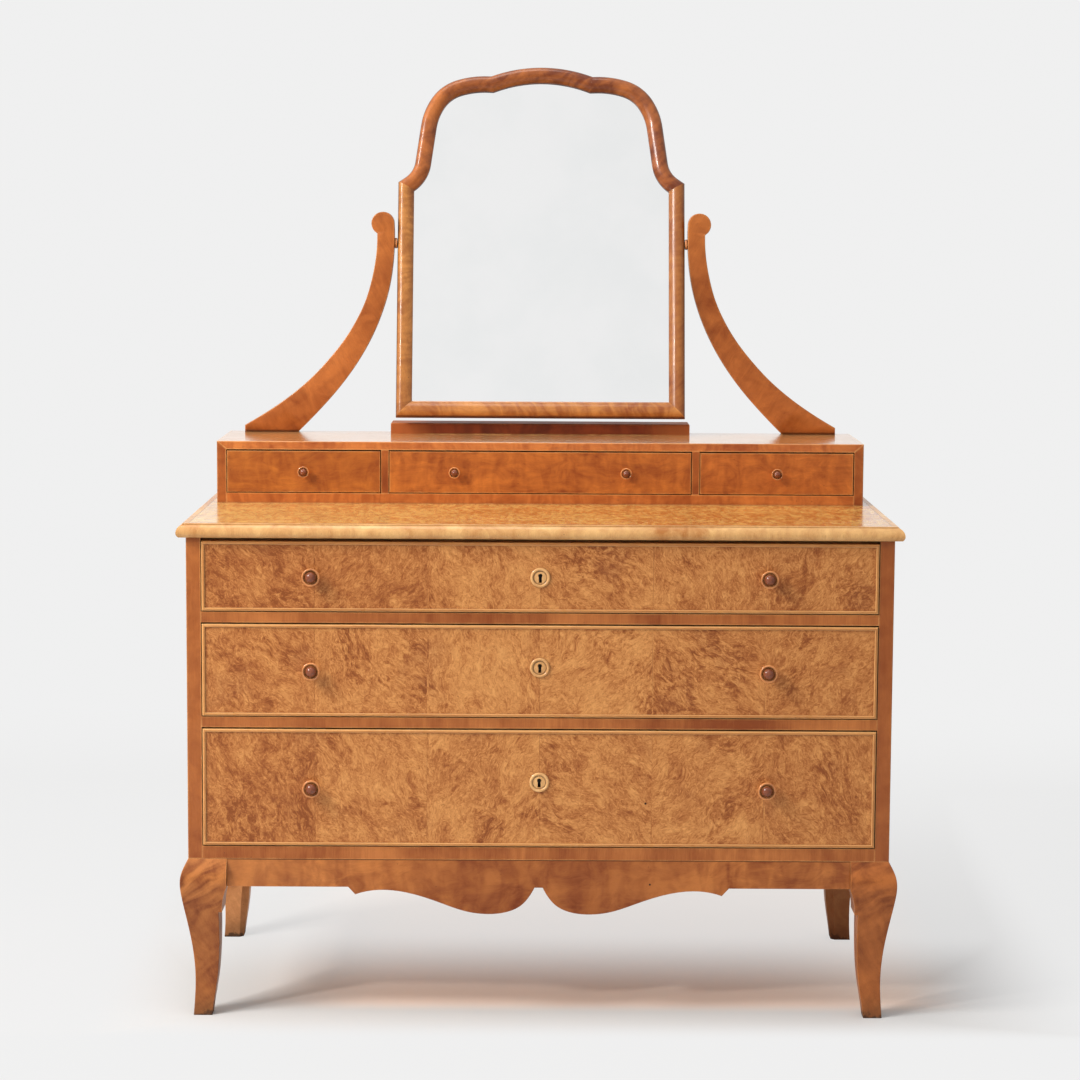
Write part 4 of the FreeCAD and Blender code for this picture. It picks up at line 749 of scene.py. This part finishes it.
burl_front("bottom", (9.0, 0.0, 0.0), (-0.16, 0.0, 0.03, 0.0, 0.0, -0.07), (0.3, 0.6, -0.4, 0.9, -0.8, 0.5),
           [(-0.504, 0.436, 0.02, 0.12), (-0.477, 0.368, 0.02, 0.15), (-0.362, 0.409, 0.025, 0.12),
            (-0.46, 0.31, 0.045, 0.08), (-0.314, 0.322, 0.03, 0.18), (-0.37, 0.31, 0.03, 0.1),
            (-0.077, 0.332, 0.035, 0.1), (0.01, 0.33, 0.03, 0.2), (0.25, 0.37, 0.07, 0.1),
            (0.457, 0.39, 0.02, 0.15), (0.359, 0.39, 0.02, 0.15)],
           [(0.1655, 0.342, 0.0018), (0.1685, 0.2755, 0.0014)])


# ---- Cock beads and escutcheons ---------------------------------------------------------------
# A thin round-nosed bead of paler birch is mitred round each long front. A turned escutcheon of
# the palest birch is let in round each keyhole.

material, tree = finish("bead_birch")
colour, rough, height = birch(tree, board(tree, "x", (0.3, 0.2, 0.9)), tint(212, 148, 84),
                              tint(172, 102, 48), flame=0.1, clouds=0.6, fibres=0.3, width=0.02,
                              worn=0.8, shine=0.3, reach=0.0012)
# Painted highlight: the bead is paler where its rounded nose turns away from the front.
facing = axis(tree, add(tree, "ShaderNodeNewGeometry").outputs["Normal"], "Y")
painted_highlight = spread(tree, calc(tree, "ABSOLUTE", facing), 0.98, 0.72, 0.0, 0.55)
colour = mix(tree, painted_highlight, colour, tint(242, 190, 122))
varnish(tree, colour, rough, height, coat=0.3)
dress(material, "bottom_drawer_bead", "middle_drawer_bead", "top_drawer_bead")

birch_finish("escutcheon_birch", ("bottom_escutcheon", "middle_escutcheon", "top_escutcheon"),
             ("z", (0.9, 0.2, 0.1)), tint(252, 204, 138), tint(200, 138, 78), 0.3, flame=0.1, clouds=0.4,
             fibres=0.3, width=0.02, worn=0.4, shine=0.28, reach=0.001)


# ---- Drawer boxes -----------------------------------------------------------------------------
# Sides, back and bottom of planed pine. The sides are dovetailed to the front, the back is housed
# between them, and the bottom lies in their grooves and is nailed to the back.

planed_pine = pine_finish("drawer_side_pine", "y", tint(222, 184, 132), tint(184, 136, 86),
                          start=(0.3, 0.0, 0.0), saw=0.1)
LONG_BACK, SMALL_BACK, SMALL_BOTTOM = 0.1896, 0.2061, 0.8025
for body, under, back, left, right in (("bottom_drawer", 0.2805, LONG_BACK, -0.47, 0.47),
                                       ("middle_drawer", 0.4844, LONG_BACK, -0.47, 0.47),
                                       ("top_drawer", 0.6483, LONG_BACK, -0.47, 0.47),
                                       ("small_drawer_left", SMALL_BOTTOM, SMALL_BACK, -0.49, -0.29),
                                       ("small_drawer_middle", SMALL_BOTTOM, SMALL_BACK, -0.2, 0.2),
                                       ("small_drawer_right", SMALL_BOTTOM, SMALL_BACK, 0.29, 0.49)):
    dress(planed_pine, body + "_box")
    along_lines(body + "_bottom_nails", body, "lock_steel", nail_row,
                [[(left, back, under), (right, back, under)]],
                nail_iron, Spacing=0.13, Head=0.0045, Facing=(0.0, 0.0, -1.0))


# ---- Knobs ------------------------------------------------------------------------------------
# Turned knobs of polished wood: a neck, a rolled rim rubbed pale by fingers, and a dark dome set
# inside the rim. The collars of the mirror's pivots are of the same wood.

def knob_finish(name, front, rim, *names):
    """Front is where the drawer front is, rim how far the rolled rim stands out from it."""
    material, tree = finish(name)
    place = board(tree, "y", (0.5, 0.1, 0.2))
    grain = use(tree, straight_grain, Position=place)
    figure = use(tree, birch_flame, Position=place, Width=0.02)
    edge = use(tree, wear_grime_and_shade, Position=place, Reach=0.001)
    age = use(tree, old_surface, Position=place)
    level = sway(tree, figure["Marble"], 1.6, 0.5)
    level = sway(tree, grain["Fibres"], 1.0, level, clamp=True)
    colour = mix(tree, level, tint(94, 42, 22), tint(152, 82, 50))
    on_rim = spread(tree, axis(tree, here(tree), "Y"), front - rim - 0.0008, front - rim + 0.0004)
    worn = spread(tree, noise(tree, here(tree), 60.0, 3.0, 0.6), 0.3, 0.6, 0.55, 0.95)
    colour = stain(tree, colour, tint(228, 152, 90), on_rim, worn)
    # Painted shade, with some grime, darkens the hollow between the rim and the dome.
    colour = stain(tree, colour, tint(66, 26, 12), edge["Grime"], 0.85)
    rough = sway(tree, age["Mottle"], 0.2, 0.26)
    varnish(tree, colour, rough, grain["Height"], coat=0.5)
    dress(material, *names)


LONG_FACE, SMALL_FACE, RIM, SMALL_RIM = -0.2974, 0.0176, 0.0158, 0.013
knob_finish("knob_wood", LONG_FACE, RIM, "bottom_drawer_knobs", "middle_drawer_knobs", "top_drawer_knobs")
knob_finish("small_knob_wood", SMALL_FACE, SMALL_RIM, "small_drawer_left_knob",
            "small_drawer_middle_knobs", "small_drawer_right_knob")
knob_finish("collar_wood", 0.0, SMALL_RIM, "pivot_pins")


# ---- Locks ------------------------------------------------------------------------------------
# A folded steel case screwed behind each long front, dull with age, and a brass bolt that
# rises into the rail above.

dress(metal("lock_steel", tint(150, 148, 144), tint(92, 84, 76), 0.45),
      "bottom_lock", "middle_lock", "top_lock")


def make_slotted_screws():
    """Flat screw heads with a filed slot, each stopped at its own angle."""
    tree, given = rule("slotted screws", {"Spacing": 0.044, "Head": 0.0056, "Height": 0.0008,
                                          "Facing": (0.0, 1.0, 0.0), "Seed": 11})
    high = given["Height"]
    blank = add(tree, "GeometryNodeMeshCylinder", {"Vertices": 20, "Depth": high,
                                                   "Radius": times(tree, given["Head"], 0.5)})
    slot = vector(tree, times(tree, given["Head"], 1.3), times(tree, given["Head"], 0.16), high)
    cutter = add(tree, "GeometryNodeMeshCube", {"Size": slot})
    raised = vector(tree, z=times(tree, high, 0.5))
    cutter = add(tree, "GeometryNodeTransform", {"Geometry": cutter.outputs["Mesh"], "Translation": raised})
    head = add(tree, "GeometryNodeMeshBoolean", {0: blank.outputs["Mesh"], 1: cutter.outputs[0]},
               operation="DIFFERENCE")
    head = add(tree, "GeometryNodeTransform", {"Geometry": head.outputs[0], "Translation": raised})
    turned = facing_out(tree, given, (0.0, 0.0, 0.0), (0.0, 0.0, 3.14))
    put_down(tree, given, spaced(tree, given), head.outputs[0], turned, (1.0, 1.0, 1.0))
    return tree


slotted_screws = make_slotted_screws()
screw_steel = metal("screw_steel", tint(168, 164, 158), tint(104, 96, 88), 0.4)
LOCK_FACE, SCREW_ASIDE = -0.2654, 0.022
for body, *heights in (("bottom_drawer", 0.366, 0.448), ("middle_drawer", 0.545, 0.612),
                       ("top_drawer", 0.685, 0.725)):
    along_lines(body + "_lock_screws", body, "lock_steel", slotted_screws,
                [[(-SCREW_ASIDE, LOCK_FACE, up), (SCREW_ASIDE, LOCK_FACE, up)] for up in heights],
                screw_steel)
dress(metal("bolt_brass", tint(200, 172, 108), tint(140, 108, 60), 0.35), "bottom_lock_bolt",
      "middle_lock_bolt", "top_lock_bolt")


# ---- Upper unit -------------------------------------------------------------------------------
# A low box of flamed birch stands along the back of the top and holds three small drawers. Its
# top board is mitred to its sides and polished.

material, tree = finish("upper_top_birch")
colour, rough, height = birch(tree, board(tree, "x", (0.6, 0.2, 0.7)), tint(214, 128, 58),
                              tint(160, 78, 28), flame=0.45, clouds=0.8, fibres=0.12, width=0.012,
                              worn=0.9, shine=0.16)
# Painted light: the upward face is paler, for the light and sheen that fall on it from above.
facing = axis(tree, add(tree, "ShaderNodeNewGeometry").outputs["Normal"], "Z")
painted_light = spread(tree, facing, 0.6, 0.95, 0.0, 0.42)
colour = mix(tree, painted_light, colour, tint(250, 210, 146))
varnish(tree, colour, rough, height, coat=0.8)
dress(material, "upper_top")

birch_finish("upper_side_birch", ("upper_sides", "upper_dividers"), ("z", (0.6, 0.9, 0.1)),
             tint(174, 96, 40), tint(130, 59, 19), 0.2, flame=0.4, clouds=0.7, fibres=0.2,
             width=0.018, worn=0.8)
birch_finish("upper_rail_birch", ("upper_rail",), ("x", (0.1, 0.4, 0.1)), tint(206, 120, 54),
             tint(154, 74, 24), 0.2, flame=0.5, clouds=0.6, fibres=0.15, width=0.014, worn=0.8)
dress(pine_finish("upper_floor_pine", "x", *AGED_PINE, start=(2.2, 0.3, 0.0)), "upper_floor")

for side, start, pale in (("left", (0.0, 0.0, 0.0), tint(192, 112, 42)),
                          ("middle", (3.0, 1.0, 0.0), tint(206, 120, 48)),
                          ("right", (7.0, 2.0, 0.0), tint(206, 118, 48))):
    birch_finish("small_front_birch_" + side, ("small_drawer_" + side + "_front",), ("x", start), pale,
                 tint(134, 61, 18), 0.2, flame=0.3, clouds=0.5, marble=1.8, fibres=0.2, width=0.014,
                 worn=0.9)


# ---- Mirror ledge -----------------------------------------------------------------------------
# A narrow birch board that stands on edge between the supports. It closes the gap under the mirror.
# Its colour is painted dark for the mirror's shadow over it, and paler towards its ends, where that
# shadow ends.

material, tree = finish("ledge_birch")
# Painted shade: the board's colours are dark for the mirror's shadow that falls on it.
colour, rough, height = birch(tree, board(tree, "x", (0.7, 0.3, 0.2)), tint(150, 64, 24), tint(92, 34, 10),
                              flame=0.5, clouds=0.6, width=0.02, worn=1.0, shine=0.5)
# Painted light: paler towards the ends, where the mirror's shadow ends.
aside = calc(tree, "ABSOLUTE", axis(tree, here(tree), "X"))
painted_light = spread(tree, lift(tree, noise(tree, here(tree), 30.0), 0.03, aside), 0.185, 0.235, 0.0, 0.7)
colour = mix(tree, painted_light, colour, tint(182, 100, 46))
varnish(tree, colour, rough, height)
dress(material, "mirror_ledge")


# ---- Mirror supports --------------------------------------------------------------------------
# Two curved birch boards with a scroll at the top, plain and red-brown. The inner edge is faired
# from the scroll into the neck.

SCROLL_X, SCROLL_Z, SCROLL_RADIUS, NECK_Z, NECK_IN = 0.2693, 1.235, 0.0195, 1.2229, 0.0004
for side, outward, start in (("left", -1.0, 0.0), ("right", 1.0, 4.0)):
    birch_finish("support_birch_" + side, ("support_" + side,),
                 ("z", (start, 0.0, 0.0), (0.0, -0.5 * outward, 0.0)), tint(192, 112, 52),
                 tint(138, 68, 24), 0.1, flame=0.25, clouds=0.9, marble=1.5, fibres=0.25, width=0.024,
                 worn=0.8)
    carved = bpy.data.meshes.new("support_" + side + "_carved")
    shape = bmesh.new()
    shape.from_mesh(nodes["support_" + side].data)
    bmesh.ops.remove_doubles(shape, verts=shape.verts, dist=0.000001)
    for vert in shape.verts:
        reach, below = vert.co.x * outward, SCROLL_Z - vert.co.z
        if 0.0 < below < SCROLL_Z - NECK_Z and reach < SCROLL_X:
            edge = SCROLL_X - math.sqrt(SCROLL_RADIUS ** 2 - below ** 2)
            smooth = SCROLL_X - SCROLL_RADIUS - NECK_IN * below / (SCROLL_Z - NECK_Z)
            if edge - 0.0002 < reach < edge + 0.003:
                vert.co.x += outward * (smooth - edge)
    shape.to_mesh(carved)
    shape.free()
    carved.materials.append(nodes["support_" + side].material_slots[0].material)
    carved.shade_smooth()
    carved.set_sharp_from_angle(angle=math.radians(35))
    piece = bpy.data.objects.new("support_" + side + "_carved", carved)
    bpy.context.scene.collection.objects.link(piece)
    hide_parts("support_" + side)
    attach(piece, "case")


# ---- Mirror frame -----------------------------------------------------------------------------
# A round-faced moulding of birch, mitred at the corners and at the crest. The stiles and the
# bottom are pale and figured, the curved head is redder.

MIRROR_FACES = (0.0, -0.971, 0.239)


def painted_side_shade(tree, colour):
    """Painted shade down the two sides of a round moulding, darker where its face turns from the front."""
    normal = add(tree, "ShaderNodeTexCoord").outputs["Normal"]
    facing = along(tree, "DOT_PRODUCT", normal, MIRROR_FACES)
    return mix(tree, spread(tree, facing, 0.72, 0.3, 0.0, 0.8), colour, tint(70, 32, 10))


def stile_shade(tree, colour):
    return painted_side_shade(tree, mix(tree, on_right(tree, 0.45), colour, tint(136, 72, 24)))


birch_finish("stile_birch", ("mirror_stiles",), ("z", (0.2, 0.6, 0.0), (0.3, 0.4, 0.0)), tint(208, 142, 72),
             tint(126, 64, 22), 0.25, stile_shade, flame=0.35, clouds=0.8, marble=0.7, fibres=0.3,
             width=0.01, worn=0.1)
birch_finish("mirror_rail_birch", ("mirror_bottom_rail",), ("x", (0.2, 0.6, 0.5), (0.2, 0.3, 0.0)),
             tint(198, 131, 64), tint(136, 66, 22), 0.25, painted_side_shade, flame=0.6, clouds=0.7, fibres=0.15,
             width=0.014, worn=0.4)
birch_finish("head_birch", ("mirror_shoulders", "mirror_crest"), ("z", (0.9, 0.6, 0.3), (0.2, 0.7, 0.0)),
             tint(184, 106, 48), tint(108, 48, 16), 0.35, painted_side_shade, flame=0.5, clouds=0.8, fibres=0.15,
             width=0.014, worn=0.0)


# ---- Mirror glass and its board ---------------------------------------------------------------
# Silvered plate glass lies in the frame's rebate. A thin pine board behind it is held by small
# brads, whose heads follow the board's edge.

material, tree = finish("silvered_glass")
haze = noise(tree, here(tree), 9.0, 3.0, 0.5)
colour = mix(tree, spread(tree, haze, 0.3, 0.7), tint(246, 247, 247), tint(250, 250, 250))
rough = spread(tree, noise(tree, here(tree), 30.0, 4.0, 0.6), 0.3, 0.8, 0.012, 0.03)
varnish(tree, colour, rough, haze, depth=0.0, Metallic=1.0)
dress(material, "mirror_glass")
dress(pine_finish("backboard_pine", "z", *AGED_PINE, start=(0.0, -0.1, 0.4), wide=0.15),
      "mirror_backboard")

board_faces = bmesh.new()
board_faces.from_mesh(nodes["mirror_backboard"].data)
bmesh.ops.remove_doubles(board_faces, verts=board_faces.verts, dist=0.00001)
rear = max(board_faces.faces, key=lambda face: face.calc_area() * (face.normal.y > 0.5)).normal.copy()
rim = [edge for edge in board_faces.edges
       if sum(face.normal.dot(rear) > 0.999 for face in edge.link_faces) == 1]
middle = sum((edge.verts[0].co for edge in rim), Vector()) / len(rim)
INWARD, SHORTEST = 0.975, 0.08
brad_lines = [[middle + (vert.co - middle) * INWARD for vert in edge.verts] for edge in rim
              if edge.calc_length() > SHORTEST]
board_faces.free()
along_lines("backboard_brads", "mirror", "lock_steel", nail_row, brad_lines, nail_iron,
            Spacing=0.075, Head=0.0035, Height=0.0008, Facing=tuple(rear))


# ---- Floor, backdrop, light and camera --------------------------------------------------------
# Pale seamless paper, a soft window and a smaller key lamp at the upper left, a weak lamp above and
# even light all round. The paper takes the shadow in front and fades into the even background. Its
# glow lightens that shadow towards the back and sides, and its warm colour under the object tints the
# shadow: both are painted light.

SWEEP_HALF, SWEEP_FRONT, SWEEP_BACK, SWEEP_BEND, SWEEP_TOP, SWEEP_STEPS = 9.0, -9.0, 3.0, 2.0, 7.0, 24
profile = [(SWEEP_FRONT, 0.0)]
for step in range(SWEEP_STEPS + 1):
    angle = math.radians(90 * step / SWEEP_STEPS)
    profile.append((SWEEP_BACK + SWEEP_BEND * math.sin(angle), SWEEP_BEND - SWEEP_BEND * math.cos(angle)))
profile.append((SWEEP_BACK + SWEEP_BEND, SWEEP_TOP))
corners = [(x, y, z) for x in (-SWEEP_HALF, SWEEP_HALF) for y, z in profile]
count = len(profile)
faces = [(i, i + count, i + count + 1, i + 1) for i in range(count - 1)]
sheet = bpy.data.meshes.new("sweep")
sheet.from_pydata(corners, [], faces)
sheet.shade_smooth()
sweep = bpy.data.objects.new("sweep", sheet)
bpy.context.scene.collection.objects.link(sweep)
BACKGROUND = (0.87, 0.87, 0.87, 1.0)
material, tree = finish("pale_paper")
fibre = noise(tree, here(tree), 500.0, 2.0, 0.5)
across, behind = axis(tree, here(tree), "X"), axis(tree, here(tree), "Y")
# Painted shadow colour: the paper is warm where the object stands over it, so its shadow looks warm.
painted_warm_shade = times(tree, spread(tree, behind, -0.27, -0.2), spread(tree, across, -0.5, -0.2))
painted_warm_shade = times(tree, painted_warm_shade, spread(tree, across, 0.72, 0.55))
lit = mix(tree, fibre, (0.67, 0.67, 0.665, 1.0), (0.70, 0.70, 0.695, 1.0))
colour = mix(tree, painted_warm_shade, lit, (0.99, 0.80, 0.68, 1.0))
paper = add(tree, "ShaderNodeBsdfPrincipled", {"Base Color": colour, "Roughness": 0.9,
                                               "Specular IOR Level": 0.0})
glow = add(tree, "ShaderNodeEmission", {"Color": BACKGROUND, "Strength": 1.0})
# Painted light: the camera glow is graded by place. It lightens the object's shadow a little under it and
# more towards the back and sides, and gives it a sharp front edge.
share = calc(tree, "ADD", spread(tree, behind, -0.2, 0.25, 0.06, 0.7),
             spread(tree, behind, 0.25, 2.5, 0.0, 0.3))
share = calc(tree, "ADD", share, spread(tree, behind, -0.29, -0.42, 0.0, 0.9))
share = calc(tree, "MAXIMUM", share, spread(tree, across, -0.5, -0.72, 0.0, 0.9))
share = calc(tree, "MAXIMUM", share, spread(tree, across, 0.52, 0.92, 0.0, 0.88))
ray = add(tree, "ShaderNodeLightPath").outputs
mirrored = times(tree, ray["Is Glossy Ray"], spread(tree, behind, 1.0, 3.0))
share = times(tree, share, calc(tree, "MAXIMUM", ray["Is Camera Ray"], mirrored))
shader = add(tree, "ShaderNodeMixShader", {0: share, 1: paper.outputs[0], 2: glow.outputs[0]})
rear_side = add(tree, "ShaderNodeNewGeometry").outputs["Backfacing"]
shader = add(tree, "ShaderNodeMixShader", {0: rear_side, 1: shader.outputs[0],
                                           2: add(tree, "ShaderNodeBsdfTransparent").outputs[0]})
add(tree, "ShaderNodeOutputMaterial", {"Surface": shader.outputs[0]})
sheet.materials.append(material)

world = bpy.data.worlds.new("studio")
bpy.context.scene.world = world
world.use_nodes = True
tree = world.node_tree
tree.nodes.clear()
ray = add(tree, "ShaderNodeLightPath").outputs
heading = add(tree, "ShaderNodeTexCoord").outputs["Generated"]
upward, sideways = axis(tree, heading, "Z"), axis(tree, heading, "X")
level = spread(tree, upward, 0.02, 0.26, 0.36, 0.9)
level = times(tree, level, spread(tree, sideways, -0.3, 0.3, 1.04, 0.92, soft=False))
room = add(tree, "ShaderNodeBackground", {"Color": level, "Strength": 1.0})
wall = add(tree, "ShaderNodeBackground", {"Color": BACKGROUND, "Strength": 1.0})
soft = spread(tree, upward, -0.2, 0.9, 0.2, 0.76, soft=False)
soft = times(tree, soft, spread(tree, sideways, -1.0, 1.0, 1.18, 0.82, soft=False))
fill = add(tree, "ShaderNodeBackground", {"Color": soft, "Strength": 1.0})
shiny = calc(tree, "MAXIMUM", ray["Is Glossy Ray"], ray["Is Transmission Ray"])
both = add(tree, "ShaderNodeMixShader", {0: shiny, 1: fill.outputs[0], 2: room.outputs[0]})
both = add(tree, "ShaderNodeMixShader", {0: ray["Is Camera Ray"], 1: both.outputs[0], 2: wall.outputs[0]})
add(tree, "ShaderNodeOutputWorld", {"Surface": both.outputs[0]})

LAMP_TINT = (1.0, 0.98, 0.95)
for name, size, power, stand, aim in (("window", 0.9, 66.0, (-2.3, -1.35, 2.6), (2.3, 1.2, -2.1)),
                                      ("key", 0.35, 49.0, (-2.9, -2.7, 2.64), (2.9, 2.4, -2.04)),
                                      ("ceiling", 1.4, 20.0, (-0.4, -0.35, 3.3), (0.1, 0.1, -1.0))):
    lamp = bpy.data.lights.new(name, "AREA")
    lamp.shape, lamp.size, lamp.energy, lamp.color = "DISK", size, power, LAMP_TINT
    lamp = bpy.data.objects.new(name, lamp)
    bpy.context.scene.collection.objects.link(lamp)
    lamp.location = stand
    lamp.rotation_euler = Vector(aim).to_track_quat("-Z", "Y").to_euler()

YAW, PITCH, ROLL = math.radians(0.184), math.radians(6.423), math.radians(-0.328)
EYE, LENS, SENSOR, FARTHEST = (-0.01503, -4.71041, 1.2504), 96.21, 36.0, 60.0
ahead = Vector((math.sin(YAW) * math.cos(PITCH), math.cos(YAW) * math.cos(PITCH), -math.sin(PITCH)))
right = Vector((math.cos(YAW), -math.sin(YAW), 0.0))
down = ahead.cross(right)
level_right = math.cos(ROLL) * right + math.sin(ROLL) * down
level_down = -math.sin(ROLL) * right + math.cos(ROLL) * down
view = bpy.data.cameras.new("view")
view.lens, view.sensor_width, view.clip_end = LENS, SENSOR, FARTHEST
eye = bpy.data.objects.new("view", view)
bpy.context.scene.collection.objects.link(eye)
turned = Matrix((level_right, -level_down, -ahead)).transposed().to_4x4()
eye.matrix_world = Matrix.Translation(EYE) @ turned
bpy.context.scene.camera = eye
bpy.context.scene.view_settings.view_transform = "Standard"
